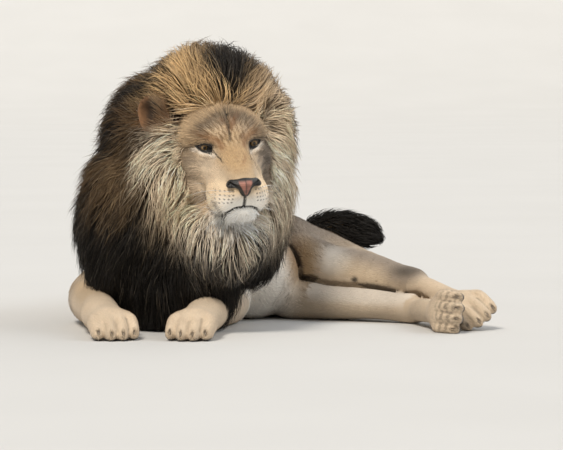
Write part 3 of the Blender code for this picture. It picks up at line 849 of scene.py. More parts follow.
def fine_regions():
    """Where the skin's mesh is halved, three times over: face, ears, paws and folds; face and toes; eyes
    and mouth."""
    face = [(HEAD @ Vector((0, -0.050, -0.060)), 0.130), (HEAD @ Vector((0, 0.000, 0.020)), 0.100)]
    ears = [(ear_frame(s) @ Vector((0, 0, 0)), 0.062) for s in (1, -1)]
    feet = [(place @ Vector((0, 0.025, 0)), 0.078) for _, place, _, _ in paws()]
    eyes = [(HEAD @ Vector((EYE_CENTRE.x * s, -0.006, 0)), 0.030) for s in (1, -1)]
    mouth = [(HEAD @ Vector((x, -0.120, -0.105)), 0.036) for x in (-0.022, 0.022)]
    return [face + ears + feet + FOLD_BALLS, face + [(p, r * 0.72) for p, r in feet], eyes + mouth]


def refine(mesh, form, balls, rounds=3):
    """Halves the edges inside the balls, then evens the vertices there and sets them on the form."""
    chosen = near_any(places_in(mesh), balls)
    ends = chosen[edges_in(mesh)].all(1)
    mesh.vertices.foreach_set("select", chosen)
    mesh.edges.foreach_set("select", ends)
    mesh.polygons.foreach_set("select", np.zeros(len(mesh.polygons), bool))
    bm = bmesh.new()
    bm.from_mesh(mesh)
    edges = [edge for edge in bm.edges if edge.select]
    bmesh.ops.subdivide_edges(bm, edges=edges, cuts=1, use_grid_fill=True)
    bm.to_mesh(mesh)
    bm.free()
    p = places_in(mesh)
    edges = edges_in(mesh)
    chosen = near_any(p, balls)
    for _ in range(rounds):
        even = mean_of_neighbours(p, edges)
        p[chosen] = on_form(form, (p[chosen] + even[chosen]) / 2)
    put_places(mesh, p)


def faced_out(mesh):
    """The mesh with its faces turned outwards and those of more than four corners cut up."""
    bm = bmesh.new()
    bm.from_mesh(mesh)
    bmesh.ops.triangulate(bm, faces=[f for f in bm.faces if len(f.verts) > 4])
    bmesh.ops.recalc_face_normals(bm, faces=bm.faces)
    bm.to_mesh(mesh)
    bm.free()
    return mesh


def grow_skin(form):
    """The form's zero level, made finer where the body has fine features."""
    points, quads = Sampled(form, SKIN_STEP).surface()
    points = on_form(form, points)
    mesh = new_mesh("skin", points, quads)
    for balls in fine_regions():
        refine(mesh, form, balls)
    return faced_out(mesh)


# Lines along the body, from which come the lie of the coat and its unwrapping.


class Track:
    """A stretch of the body round a line. A place on it has a length along the line and an angle round it."""

    def __init__(self, stops, up=(0, 0, 1)):
        rows = np.array([(*point, radius) for point, radius in stops], float)
        self.points, self.radii = rows[:, :3], rows[:, 3]
        self.along = np.diff(self.points, axis=0)
        self.steps = length_of(self.along)
        self.starts = np.concatenate([[0], np.cumsum(self.steps)])
        self.side = unit(np.cross(self.along, up))
        self.top = np.cross(self.side, unit(self.along))

    def read(self, p):
        """Distance over radius, length along, angle and the line's direction, of the nearest length."""
        best = np.full(len(p), np.inf)
        found = np.zeros((len(p), 5))
        for i, along in enumerate(self.along):
            t, off = along_line(p, self.points[i], along)
            radius = self.radii[i] + t * (self.radii[i + 1] - self.radii[i])
            far = length_of(off) / radius
            near = far < best
            angle = np.arctan2(off @ self.side[i], off @ self.top[i])
            row = np.column_stack([self.starts[i] + t * self.steps[i], angle,
                                   np.tile(along / self.steps[i], (len(p), 1))])
            found[near], best[near] = row[near], far[near]
        return best, found[:, 0], found[:, 1], found[:, 2:]


def head_at(x, y, z):
    return tuple(HEAD @ Vector((x, y, z)))


def body_tracks():
    """Trunk, tail, head and legs, each line running the way the coat lies."""
    lines = {
        "trunk": Track([((x, y, z), (w + h) / 2) for x, y, z, w, h in TRUNK]),
        "tail": Track([((x, y, z), w) for x, y, z, w, h in TAIL]),
        "head": Track([(head_at(0, -0.150, -0.075), 0.030), (head_at(0, -0.080, -0.070), 0.050),
                       (head_at(0, 0.000, -0.045), 0.080), (head_at(0, 0.120, -0.020), 0.095)]),
    }
    tips = {name: place @ Vector((0, 0.06, -0.006)) for name, place, _, _ in paws()}
    for side, sign in SIDES.items():
        lines[f"foreleg_{side}"] = Track([(SHOULDER[side], 0.075), (ELBOW[side], 0.060)])
        lines[f"forearm_{side}"] = Track([
            (ELBOW[side], 0.060), (WRIST[side], 0.048), (FORE_TOES[side], 0.046),
            (tips[f"forepaw_{side}"], 0.040)])
        lines[f"thigh_{side}"] = Track([(HIP[side], 0.110), (KNEE[side], 0.085)])
        lines[f"shank_{side}"] = Track([(KNEE[side], 0.076), (HOCK[side], 0.036)])
        lines[f"hindfoot_{side}"] = Track([
            (HOCK[side], 0.036), (HIND_TOES[side], 0.040), (tips[f"hindpaw_{side}"], 0.038)])
        ear = ear_frame(sign)
        lines[f"ear_{side}"] = Track([(ear @ Vector((0, 0.004, -0.040)), 0.050),
                                      (ear @ Vector((0, 0.004, 0.030)), 0.040)])
    return lines


def on_tracks(p, lines):
    """For each place: the number of its track, length along it, angle round it and direction."""
    best = np.full(len(p), np.inf)
    found = np.zeros((len(p), 6))
    for number, line in enumerate(lines.values()):
        far, along, angle, way = line.read(p)
        near = far < best
        found[near] = np.column_stack([np.full(len(p), number), along, angle, way])[near]
        best[near] = far[near]
    return found[:, 0].astype(int), found[:, 1], found[:, 2], found[:, 3:]


# Markings, painted shade and a painted highlight: how much of each colour lies at a place.


def fade(low, high, x):
    """0 below low and 1 above high, with a soft step t^2 (3 - 2 t) between; low may be the larger."""
    t = np.clip((x - low) / (high - low), 0, 1)
    return t * t * (3 - 2 * t)


def spot(p, centre, radii, soft=0.5):
    """1 in an ellipsoid, fading to 0 where it is 1 + soft times as large."""
    return fade(1 + soft, 1 - soft, length_of((p - np.array(centre)) / np.array(radii)))


def line_distance(p, points):
    """The distance from a line through points."""
    points = np.array(points, float)
    return np.min([length_of(along_line(p, a, b - a)[1]) for a, b in zip(points, points[1:])], axis=0)


def stroke(p, points, width, soft=0.5):
    return fade(width * (1 + soft), width * (1 - soft), line_distance(p, points))


def waver(p, size, seed, rough=3):
    """A smooth vector that changes with place: sines of sums of the coordinates, finer and weaker."""
    draw = np.random.default_rng(seed)
    found = np.zeros_like(p)
    for octave in range(rough):
        scale = 2**octave / size
        for axis in range(3):
            for _ in range(2):
                wave = unit(draw.normal(size=3)) * scale * math.tau
                found[:, axis] += np.sin(p @ wave + draw.uniform(0, math.tau)) * 0.6**octave
    return found / 2


def names_in(group):
    """The names of a property group's settings."""
    return [name for name in group.bl_rna.properties.keys() if name not in ("rna_type", "name")]


def palette():
    """The colours by name, as linear red, green and blue."""
    colours = bpy.context.scene.lion_colours
    return {name: np.array(getattr(colours, name)) for name in names_in(colours)}


class Paint:
    """Colours laid over each other at places. Each lay moves the colour towards a named one by a mask."""

    def __init__(self, count, name):
        self.palette = palette()
        self.colour = np.tile(self.palette[name], (count, 1))

    def blend(self, colour, mask):
        self.colour += (colour - self.colour) * np.asarray(mask)[:, None]

    def lay(self, name, mask):
        self.blend(self.palette[name], mask)

    def lay_spots(self, p, rows):
        """Each row is a colour, how much of it, and a spot's centre, radii and softness."""
        for name, share, *where in rows:
            self.lay(name, spot(p, *where) * share)


def eye_rim(p):
    """The distance outside the nearer eye opening, before the eyeball."""
    return np.minimum(*[almond.depth(p) for almond in (Almond(1), Almond(-1))])


def lip_distance(p, q):
    """How far a place is from the parting of the lips, at the front of the mouth."""
    return Face.get().lips.depth(p) + LIP_OPEN + 0.2 * np.maximum(q[:, 1] + 0.045, 0)


def paint_face(paint, p, q):
    """Gold forehead and bridge, pale cheeks and muzzle, white chin, black rims, lines and whisker spots, with
    painted shade under the hairline and on the left cheek and its fold.
    """
    m = folded(q)
    blur = waver(p, 0.05, 5)[:, 0] * 0.5
    fleck = waver(p, 0.016, 6)[:, 0] * 0.5
    rough = np.clip(blur + fleck, -1, 1)
    paint.lay("gold", spot(m, (0, -0.010, 0.035), (0.085, 0.120, 0.075)) * (0.85 + 0.15 * blur))
    middle = spot(m, (0.010, 0.000, 0.036), (0.040, 0.080, 0.034), 0.7)
    paint.lay("brown", middle * fade(0.0, 0.6, rough) * 0.75)
    pale = spot(m, (0.044, -0.004, 0.056), (0.034, 0.060, 0.026), 0.7)
    paint.lay("cream", pale * 0.60)
    paint.lay("grey_brown", pale * fade(-0.3, 0.6, rough) * 0.75)
    speck = waver(p, 0.010, 8, 2)[:, 0]
    brow = spot(m, (0, -0.020, 0.020), (0.075, 0.110, 0.060), 0.6)
    paint.lay("brown", brow * fade(-0.1, 0.6, speck) * 0.75)
    paint.lay("cream", brow * fade(-0.1, -0.7, speck) * 0.40)
    # Painted shadow under the hairline, along the top of the face's edge.
    paint.lay("dark", fade(0.80, 0.99, face_ring(q)) * fade(0.020, 0.050, q[:, 2]) * 0.65)
    paint.lay("cream", spot(m, (0.050, -0.020, -0.070), (0.050, 0.110, 0.055)) * 0.8)
    paint.lay("gold", spot(m, (0, -0.070, -0.018), (0.036, 0.080, 0.034), 0.4) * 0.9)
    bridge = spot(m, (0.012, -0.085, -0.024), (0.026, 0.036, 0.018), 0.8)
    paint.lay("rust", bridge * fade(0.0, 0.8, rough) * 0.55)
    line = Face.get().lines
    paint.lay("rust", stroke(m, line["brow"], 0.0070, 0.9) * 0.65)
    between_brows = spot(m, (0.012, -0.016, 0.042), (0.024, 0.040, 0.020), 0.8)
    paint.lay("rust", between_brows * fade(0.0, 0.8, rough) * 0.7)
    paint.lay("grey_brown", spot(m, (0.086, 0.030, -0.030), (0.020, 0.060, 0.060), 0.6) * 0.5)
    paint.lay("grey_brown", spot(m, (0.058, -0.014, -0.034), (0.026, 0.040, 0.014), 0.8)
              * fade(-0.5, 0.6, rough) * 0.75)
    # Painted shade on the left cheek, over its darker grey-brown fur.
    paint.lay("grey_brown", spot(q, (0.082, 0.000, -0.040), (0.034, 0.070, 0.060), 0.7) * 0.90)
    shaded = spot(q, (0.080, 0.000, -0.044), (0.026, 0.060, 0.044), 0.8)
    paint.lay("dark", shaded * fade(-0.5, 0.5, rough) * 0.75)
    pads = spot(m, (0.034, -0.095, -0.096), (0.044, 0.060, 0.036))
    paint.lay("ruff", pads * 0.95)
    paint.lay("gold", pads * fade(-0.115, -0.075, q[:, 2]) * 0.30)
    paint.lay("white", spot(m, (0.018, -0.128, -0.108), (0.040, 0.044, 0.020), 0.7) * 0.9)
    paint.lay("cream", stroke(m, line["under_eye"], 0.0085, 0.9) * 0.60)
    paint.lay("white", stroke(m, line["under_eye"], 0.0042, 0.9) * 0.35)
    paint.lay("dark", stroke(m, line["under_line"], 0.0020, 0.9) * 0.60)
    paint.lay("white", spot(m, (0, -0.100, -0.146), (0.074, 0.076, 0.036), 0.25))
    for place in line["whiskers"]:
        paint.lay("dark", spot(m, place, (0.0022, 0.0040, 0.0018), 0.5) * 0.85)
    paint.lay("black", stroke(q, line["forehead"], 0.0032))
    # Painted shade along the fold between muzzle and cheek, on the left side only.
    paint.lay("dark", stroke(m, line["cheek_fold"], 0.0022) * np.where(q[:, 0] > 0, 0.9, 0.0))
    paint.lay("black", fade(0.0042, 0.0026, eye_rim(p)))
    paint.lay("dark", stroke(m, line["upper_line"], 0.0018, 0.9) * 0.8)
    paint.lay("black", stroke(m, line["corner"], 0.0017))
    paint.lay("black", fade(0.0052, 0.0030, lip_distance(p, q)))
    paint.lay("black", stroke(m, line["philtrum"], 0.0036))
    paint.lay("dark", stroke(m, line["mouth_edge"], 0.0034, 0.9) * 0.75)
    rims = [(0.022, -0.148, -0.056), (0.034, -0.134, -0.054), (0.044, -0.118, -0.050)]
    paint.lay("black", stroke(m, rims, 0.0036))


def paint_ears(paint, p):
    """Rust rim, a black back, and black painted shade in the hollow."""
    for side in (1, -1):
        q = moved(p, ear_frame(side).inverted())
        here = spot(q, (0, 0, 0), (0.046, 0.034, 0.050), 0.15)
        paint.lay("rust", here * 0.9)
        paint.lay("tan", here * spot(q, (-0.024 * side, -0.014, 0.010), (0.014, 0.026, 0.034)) * 0.8)
        # Black painted shade in the ear's hollow.
        hollow = spot(q, (-0.006 * side, -0.006, -0.004), (0.026, 0.028, 0.034), 0.40)
        paint.lay("black", here * hollow)
        paint.lay("black", here * fade(0.006, 0.014, q[:, 1]))


def toe_pad(q, x, ahead, soft):
    """1 on the pad under a toe, of places on its paw."""
    return spot(q, (x, ahead + 0.022, -0.024), (0.0135, 0.020, 0.012), soft)


def heel_pad(q, soft):
    return spot(q, (0, -0.008, -0.034), (0.032, 0.026, 0.014), soft)


def claw_slit(q, x, ahead, *size):
    return spot(q, (x, ahead + 0.044, -0.002), *size)


def paint_body(paint, p, normals, lines):
    """Grey-brown back and outer thigh, gold knee, cream belly and inner sides, pale feet, dark hocks, with
    painted shade in folds and clefts and a painted highlight on the knee.
    """
    number, along, _, _ = on_tracks(p, lines)
    names = list(lines)
    up = normals[:, 2]
    blur = waver(p, 0.22, 3)[:, 0]
    trunk = number == names.index("trunk")
    paint.lay("grey_brown", fade(0.2, 0.95, up + 0.20 * blur) * trunk * 0.45)
    paint.lay("cream", fade(0.15, -0.5, up + 0.1 * blur) * 0.7)
    paint.lay("cream", spot(p, (0.230, 0.280, 0.110), (0.120, 0.220, 0.150), 0.6) * 0.75)
    paint.lay("grey_brown", fade(0.45, 0.90, up + 0.15 * blur) * fade(0.2, 0.4, p[:, 1]) * 0.65)
    paint.lay_spots(p, HAUNCH_SPOTS)
    paint.lay("grey_brown", stroke(p, SHANK_RIDGE, 0.038, 0.9) * 0.95)
    paint.lay_spots(p, KNEE_SPOTS)
    # Painted shade in the folds between the hind legs and before the upper knee.
    for fold in GROWN["folds"]:
        near = fade(0.0100, 0.0, fold.depth(p)) * fade(0.62, 0.50, p[:, 0]) * fade(0.60, 0.45, p[:, 1])
        paint.lay("dark", near * 0.8)
    for side in SIDES:
        fore = number == names.index(f"forearm_{side}")
        foot = number == names.index(f"hindfoot_{side}")
        paint.lay("gold", fore * fade(0.2, 0.9, up) * fade(0.30, 0.10, along) * 0.5)
        paint.lay("cream", fore * fade(0.5, -0.1, up) * 0.8)
        paint.lay("cream", fore * fade(0.22, 0.36, along) * 0.75)
        paint.lay("cream", foot * 0.7)
    shank = number == names.index("shank_right")
    paint.lay("cream", shank * 0.8)
    paint.lay("white", shank * fade(-0.2, 0.7, up) * 0.35)
    paint.lay_spots(p, LIMB_SPOTS)
    for name, place, slim, _ in paws():
        q = moved(p, place.inverted())
        here = spot(q, (0, 0, 0), (0.075, 0.090, 0.050), 0.2)
        paint.lay("cream", here * 0.5)
        if name == "hindpaw_right":
            fleck = waver(p, 0.018, 19, 2)[:, 0]
            toes = spot(q, (0, 0.040, 0.006), (0.060, 0.034, 0.034), 0.7)
            paint.lay("dark", toes * fade(-0.2, 0.5, fleck) * 0.6)
        for aside, ahead in toe_places():
            x = aside * slim
            # Painted shade in the claw slits.
            paint.lay("dark", claw_slit(q, x, ahead, (0.0034, 0.013, 0.0085), 0.6) * 0.9)
            if name == "hindpaw_right":
                knuckle = [(x, ahead + 0.040, 0.004), (x, ahead + 0.012, 0.022)]
                paint.lay("dark", stroke(q, knuckle, 0.0036, 0.9) * 0.20)
            # Painted shade in the clefts between the toes.
            if aside < 1.4 * TOE_SPREAD:
                beyond = x + TOE_SPREAD * slim / 2
                cleft = [(beyond, ahead + 0.038, 0.000), (beyond, ahead + 0.008, 0.022)]
                paint.lay("dark", stroke(q, cleft, 0.0034, 0.8) * 0.45)
            paint.lay("black", toe_pad(q, x, ahead, 0.25) * fade(0.000, -0.008, q[:, 2]))
        paint.lay("black", heel_pad(q, 0.25) * fade(-0.008, -0.018, q[:, 2]))


def paint_mane(paint, p):
    """Cream ruff round the face, tan crown with a dark top, brown sides, black shoulders and chest."""
    spots = p + 0.014 * waver(p, 0.12, 11)
    z = spots[:, 2]
    streak = waver(p, 0.022, 12, 2)[:, 0] * 0.5
    paint.lay("tan", fade(0.3, 0.9, streak) * 0.14)
    paint.lay("brown", fade(0.40, 0.52, z) * 0.75)
    flank = spot(spots, (-0.130, 0.020, 0.360), (0.075, 0.160, 0.130), 0.5)
    paint.lay("brown", flank * (0.85 + 0.3 * streak))
    flank = spot(spots, (-0.100, -0.020, 0.335), (0.070, 0.130, 0.100), 0.6)
    paint.lay("tan", flank * fade(-0.5, 0.7, streak) * 0.8)
    paint.lay_spots(spots, RUFF_SPOTS)
    paint.lay("tan", fade(0.2, 0.8, streak) * 0.30 * fade(0.16, 0.26, z))
    pale = spot(spots, (0.118, -0.130, 0.365), (0.172, 0.230, 0.190))
    paint.lay("cream", pale * fade(-0.1, -0.8, streak) * 0.35)
    paint.lay("white", spot(head_places(p), (0, -0.070, -0.170), (0.075, 0.080, 0.045), 0.6) * 0.75)
    paint.lay_spots(spots, TOP_SPOTS)
    paint.lay("dark", stroke(spots, TOP_PARTING, 0.014, 0.7) * 0.95)
    paint.lay("black", stroke(spots, BEHIND_EAR, 0.036, 0.6))


# The coat.


class Roots:
    """Places spread over the skin's triangles, with the skin's own values between their corners."""

    def __init__(self, skin, density, seed):
        """density is how many grow on a square metre, for each vertex."""
        mesh = skin.data
        mesh.calc_loop_triangles()
        self.corners = read_all(mesh.loop_triangles, "vertices", 3, np.int32)
        self.points = places_in(mesh)
        a, b, c = (self.points[self.corners[:, i]] for i in range(3))
        area = length_of(np.cross(b - a, c - a)) / 2
        wanted = area * density[self.corners].mean(1)
        draw = np.random.default_rng(seed)
        count = np.floor(wanted + draw.random(len(wanted))).astype(int)
        if not count.any():
            raise RuntimeError("nothing grows at this density")
        self.face = np.repeat(np.arange(len(count)), count)
        s, t = draw.random((2, len(self.face)))
        over = s + t > 1
        s[over], t[over] = 1 - s[over], 1 - t[over]
        self.share = np.column_stack([1 - s - t, s, t])
        self.draw = draw
        self.place = self.read(self.points)

    def read(self, values):
        """A value of each vertex, at each root."""
        return np.einsum("nk,nk...->n...", self.share, values[self.corners[self.face]])


def unwrapped(p, lines):
    """Each place's spot on a sheet: its track's tile, then the angle round and the length along it."""
    number, along, angle, _ = on_tracks(p, lines)
    used, tile = np.unique(number, return_inverse=True)
    rows = math.ceil(math.sqrt(len(used)))
    spans = np.array([list(lines.values())[i].starts[-1] for i in used])
    u = 0.03 + 0.94 * (angle / math.tau + 0.5)
    v = 0.03 + 0.94 * along / spans[tile]
    return np.column_stack([(tile % rows + u) / rows, (tile // rows + v) / rows])


def repeated(faces, count, size):
    """The faces of a small mesh of so many vertices, for each of its copies."""
    return (faces[None] + (np.arange(count) * size)[:, None, None]).reshape(-1, faces.shape[1])


def tuft_faces(rings):
    """Triangles of one closed tuft: three sides between rings of three corners, a tip and a root cap. Each
    comes with its corners' places on the tuft's own patch: the side's number and the ring's."""
    faces, patch = [], []
    for j in range(rings - 1):
        for c in range(3):
            a, b = 3 * j + c, 3 * j + (c + 1) % 3
            faces += [(a, a + 3, b + 3), (a, b + 3, b)]
            patch += [(c, j), (c, j + 1), (c + 1, j + 1), (c, j), (c + 1, j + 1), (c + 1, j)]
    last = 3 * (rings - 1)
    for c in range(3):
        faces.append((last + c, 3 * rings, last + (c + 1) % 3))
        patch += [(c, rings - 1), (c + 0.5, rings), (c + 1, rings - 1)]
    faces.append((0, 1, 2))
    patch += [(0, 0), (1, 0), (2, 0)]
    return np.array(faces), np.array(patch, float) / (3, rings)


def grow_tufts(name, paths, ups, wide, colours, spots, high=0.45):
    """Closed tapering tufts. Each is three corners carried along its path: left, right and a ridge, at half
    the width aside and high times the width up, down to one point at the tip.

    paths is tuft, step, xyz; wide is tuft, step; colours is tuft, step, rgb; spots is tuft, uv."""
    count, steps = paths.shape[:2]
    rings = steps - 1
    along = unit(np.gradient(paths, axis=1))
    side = unit(np.cross(along, ups[:, None]))
    top = np.cross(side, along)
    corners = np.stack([-side / 2, side / 2, top * high], 2)[:, :rings]
    points = paths[:, :rings, None] + corners * wide[:, :rings, None, None]
    points = np.concatenate([points.reshape(count, 3 * rings, 3), paths[:, rings:]], 1)
    points[..., 2] = np.maximum(points[..., 2], FLOOR)
    faces, patch = tuft_faces(rings)
    size = 3 * rings + 1
    mesh = new_mesh(name, points.reshape(-1, 3), repeated(faces, count, size))
    shade = np.concatenate([np.repeat(colours[:, :rings], 3, axis=1), colours[:, rings:]], 1)
    store(mesh, "coat", shade.reshape(-1, 3))
    sheet = mesh.uv_layers.new(name="OFBake")
    spread = spots[:, None] + (patch - 0.5)[None] * PATCH
    sheet.uv.foreach_set("vector", spread.astype(np.float32).ravel())
    return mesh


def tangent(v, normals):
    """v less what of it points out of the surface, of length 1."""
    return unit(v - np.einsum("ni,ni->n", v, normals)[:, None] * normals)


class Skin:
    """The finished skin's arrays: places, way out, lie of the coat, and depth under the mane's outside."""

    def __init__(self, piece):
        mesh = piece.data
        self.piece = piece
        self.places = places_in(mesh)
        self.edges = edges_in(mesh)
        self.normals = read_all(mesh.vertices, "normal", 3).astype(float)
        self.lines = body_tracks()
        self.track, _, _, way = on_tracks(self.places, self.lines)
        self.lie = tangent(way, self.normals)
        for _ in range(12):
            even = (self.lie + mean_of_neighbours(self.lie, self.edges)) / 2
            self.lie = tangent(even, self.normals)
        self.mane = Sampled(mane_form(), FIELD_STEP)
        self.under = self.mane.depth(self.places)
        self.head = head_places(self.places)

    def near_ears(self):
        """1 on the ears and 0 a centimetre off them."""
        depth = np.minimum(*[ear_form(side).depth(self.places) for side in (1, -1)])
        return fade(0.007, 0.003, depth)

    def is_track(self, *names):
        """1 where a vertex belongs to one of the tracks whose names start so."""
        numbers = [i for i, name in enumerate(self.lines) if name.startswith(names)]
        return np.isin(self.track, numbers).astype(float)


def face_ring(q):
    """How far from the middle of the face a head place is, seen from before it: 1 at the face's edge."""
    high = np.clip(q[:, 2], 0, 0.08)
    slant = np.where(q[:, 0] < 0, 0.78, 0.50)
    return np.hypot(q[:, 0] / (0.096 - slant * high), (q[:, 2] + 0.045) / (0.128 - 0.34 * high))


def ring_before(q, behind):
    """face_ring for what lies before a depth in the head, and well off the face for the rest."""
    return np.where(q[:, 1] > behind, 2.0, face_ring(q))


def bare_parts(skin):
    """1 on lips, lids, nose, pads and what lies on the floor, where no coat grows."""
    p, q = skin.places, skin.head
    m = folded(q)
    bare = [
        fade(0.0050, 0.0030, eye_rim(p)),
        fade(0.0060, 0.0036, lip_distance(p, q)),
        fade(0.0048, 0.0028, line_distance(m, Face.get().lines["philtrum"])),
        spot(m, (0, -0.145, -0.060), (0.030, 0.024, 0.020), 0.1),
        fade(0.004, 0.002, p[:, 2]),
    ]
    for _, place, slim, _ in paws():
        r = moved(p, place.inverted())
        for aside, ahead in toe_places():
            bare.append(toe_pad(r, aside * slim, ahead, 0.1) * fade(0.000, -0.006, r[:, 2]))
            bare.append(claw_slit(r, aside * slim, ahead, (0.0028, 0.010, 0.0070), 0.2))
        bare.append(heel_pad(r, 0.1) * fade(-0.008, -0.016, r[:, 2]))
    return np.max(bare, axis=0)


def paint_all(p, normals, lines, under):
    """The markings, with the painted shade and highlight among them, at places on the skin or in the coat.
    under is the depth below the mane's outside.
    """
    q = head_places(p)
    paint = Paint(len(p), "tawny")
    paint_body(paint, p, normals, lines)
    mane = Paint(len(p), "black")
    paint_mane(mane, p)
    in_mane = fade(-0.004, -0.016, under) * fade(0.92, 1.05, ring_before(q, 0.08))
    head = fade(0.30, 0.24, length_of(q - np.array((0, 0.02, -0.03))))
    paint.lay("gold", head * 0.4)
    paint.blend(mane.colour, in_mane)
    face = Paint(len(p), "gold")
    face.colour = paint.colour.copy()
    paint_face(face, p, q)
    on_face = fade(1.12, 0.96, face_ring(q)) * fade(0.10, 0.05, q[:, 1])
    paint.blend(face.colour, on_face)
    paint_ears(paint, p)
    return paint.colour


def hair_growth(q):
    """How much longer than elsewhere the hair is: chin, lower cheeks, temples and the edge of the face.
    Returned with the shares of the chin and of that edge."""
    face = (q[:, 1] < 0.10) & (length_of(q) < 0.26)
    edge = fade(0.62, 1.05, face_ring(q)) * face
    m = folded(q)
    chin = spot(m, (0.022, -0.080, -0.146), (0.054, 0.054, 0.024), 0.5)
    temple = spot(q, (-0.084, 0.010, 0.050), (0.036, 0.070, 0.034), 0.7)
    temple += 0.7 * spot(q, (0.070, 0.010, 0.062), (0.030, 0.070, 0.022), 0.7)
    cheek = spot(m, (0.078, 0.030, -0.080), (0.030, 0.070, 0.050), 0.4)
    muzzle = spot(m, (0.010, -0.120, -0.085), (0.050, 0.060, 0.050), 0.4)
    growth = 1 + 2.4 * edge**2 + 2.9 * chin + 1.0 * cheek + 2.2 * temple
    return growth * (1 - 0.4 * muzzle * (1 - chin)), chin, np.maximum(edge, temple)


def short_coat(skin, name, prefixes, per_metre, long, wide, seed):
    """Short tufts lying along the skin. Each is straight, with its tip a share of its length off the
    skin."""
    bare = bare_parts(skin)
    face = fade(1.1, 0.9, face_ring(skin.head)) * fade(0.10, 0.05, skin.head[:, 1])
    ears = skin.near_ears()
    chosen = ears if name == "ear_coat" else skin.is_track(*prefixes) * (1 - ears)
    density = per_metre * chosen * (1 - bare)
    if name != "ear_coat":
        density *= fade(-0.022, -0.012, skin.under) + 0.9 * (face > 0.5)
    roots = Roots(skin.piece, np.minimum(density, per_metre), seed)
    draw, p = roots.draw, roots.place
    up = unit(roots.read(skin.normals))
    growth, chin, edge = hair_growth(head_places(p))
    radial = tangent(mane_flow(p), up) * (0.9 * edge[:, None])
    aside = head_places(p)[:, 0] * 9
    fall = np.column_stack([aside, np.full(len(p), -0.1), np.full(len(p), -1.0)]) * (2.2 * chin[:, None])
    lie = tangent(roots.read(skin.lie) + radial + fall + 0.16 * draw.normal(size=p.shape), up)
    reach = long * growth * draw.uniform(0.7, 1.25, len(p))
    t = np.array([0, 1.0])
    fine = name == "face_coat"
    lift = (FACE_STAND if fine else BODY_STAND) * t
    paths = (p - up * TUFT_START)[:, None] + reach[:, None, None] * (
        t[:, None] * lie[:, None] + lift[:, None] * up[:, None])
    paths[..., 2] = np.maximum(paths[..., 2], 0.0008)
    widths = wide * draw.uniform(0.7, 1.3, len(p)) * growth**0.3
    widths = widths[:, None] * np.array([1.0, 0])
    jitter = p + (0.0010 if fine else 0.003) * draw.normal(size=p.shape)
    colour = paint_all(jitter, up, skin.lines, skin.mane.depth(p))
    cloud = 1 + 0.10 * waver(p, 0.035, 17, 3)[:, :1, None]
    tone = cloud * draw.normal(1.0, 0.17 if fine else 0.11, (len(p), 1, 1))
    # Painted shade along each tuft: darker at the root, lighter at the tip.
    tone = tone * np.array(TUFT_PAINTED_SHADE)[None, :, None]
    shades = np.clip(colour[:, None] * tone, 0.002, 0.95)
    return grow_tufts(name, paths, up, widths, shades, unwrapped(p, skin.lines), high=0.30)


def mane_flow(p):
    """The way the mane hangs: away from the face, back along the neck, and down with the height."""
    q = head_places(p)
    turn = np.array(HEAD)[:3, :3]
    radial = unit(np.column_stack([q[:, 0], np.zeros(len(q)), q[:, 2] - 0.030])) @ turn.T
    back = turn[:, 1]
    fall = fade(0.56, 0.30, p[:, 2])[:, None]
    behind = fade(-0.02, 0.16, q[:, 1])[:, None]
    flow = radial * (0.95 - 0.55 * fall) + back * (0.30 + 0.75 * behind) * (1 - 0.6 * fall)
    return flow + np.array([0, 0, -1.0]) * (0.10 + 1.15 * fall) + 0.22 * waver(p, 0.16, 21, 2)


def mane_paths(skin, start, long, steps, lift, seed):
    """Paths that follow the mane's flow from the skin and rise to its outside: at a share t of its length
    a lock is (1 - t)^1.6 of its root's depth under the outside."""
    draw = np.random.default_rng(seed)
    depth = skin.mane.depth(start)
    paths = [start]
    p = start.copy()
    wave = waver(start, 0.06, 43, 3) * 0.75 + 0.20 * draw.normal(size=start.shape)
    for j in range(steps):
        t = (j + 1) / steps
        out = skin.mane.slope(p, 0.006)
        aim = depth * (1 - t) ** 1.6 + lift * t * t
        pace = long / steps
        climb = np.clip((aim - skin.mane.depth(p)) / pace, -0.8, 0.85)
        flow = tangent(mane_flow(p) + wave * (0.3 + 0.4 * t), out)
        flow = flow * np.sqrt(1 - np.minimum(climb**2, 0.9))[:, None] + out * climb[:, None]
        p = p + unit(flow) * pace[:, None]
        p[:, 2] = np.maximum(p[:, 2], 0.002 + 0.001 * (1 - t))
        paths.append(p)
    return np.stack(paths, 1)


def nearest(points, others, share=2000):
    """For each point the number of the nearest of the others, from squares and products of coordinates."""
    others = others.astype(np.float32)
    squares = np.einsum("ij,ij->i", others, others)
    found = []
    for i in range(0, len(points), share):
        block = points[i : i + share].astype(np.float32)
        found.append(np.argmin(squares - 2 * block @ others.T, axis=1))
    return np.concatenate(found)


def drawn_in(lock, guide, clump, locks):
    """Paths of locks, each drawn in towards its clump's guide with the way to the tip, and curled."""
    t = np.linspace(0, 1, LOCK_STEPS + 1)
    close = np.minimum(length_of(guide[:, 0] - lock[:, 0]), 1.0)
    hold = (0.80 * t**1.4)[None] * locks.draw.uniform(0.05, 0.85, len(lock))[:, None]
    hold *= fade(0.04, 0.02, close)[:, None]
    lock = lock + (guide - lock) * hold[..., None]
    curl = waver(locks.place * 3 + clump[:, None] * 0.37, 0.4, 51, 2)
    swing = np.sin(t[None] * math.tau * 1.1 + clump[:, None] * 1.7)[..., None]
    lock = lock + curl[:, None] * swing * (0.0045 * t[None, :, None])
    lock[..., 2] = np.maximum(lock[..., 2], 0.0015)
    return lock


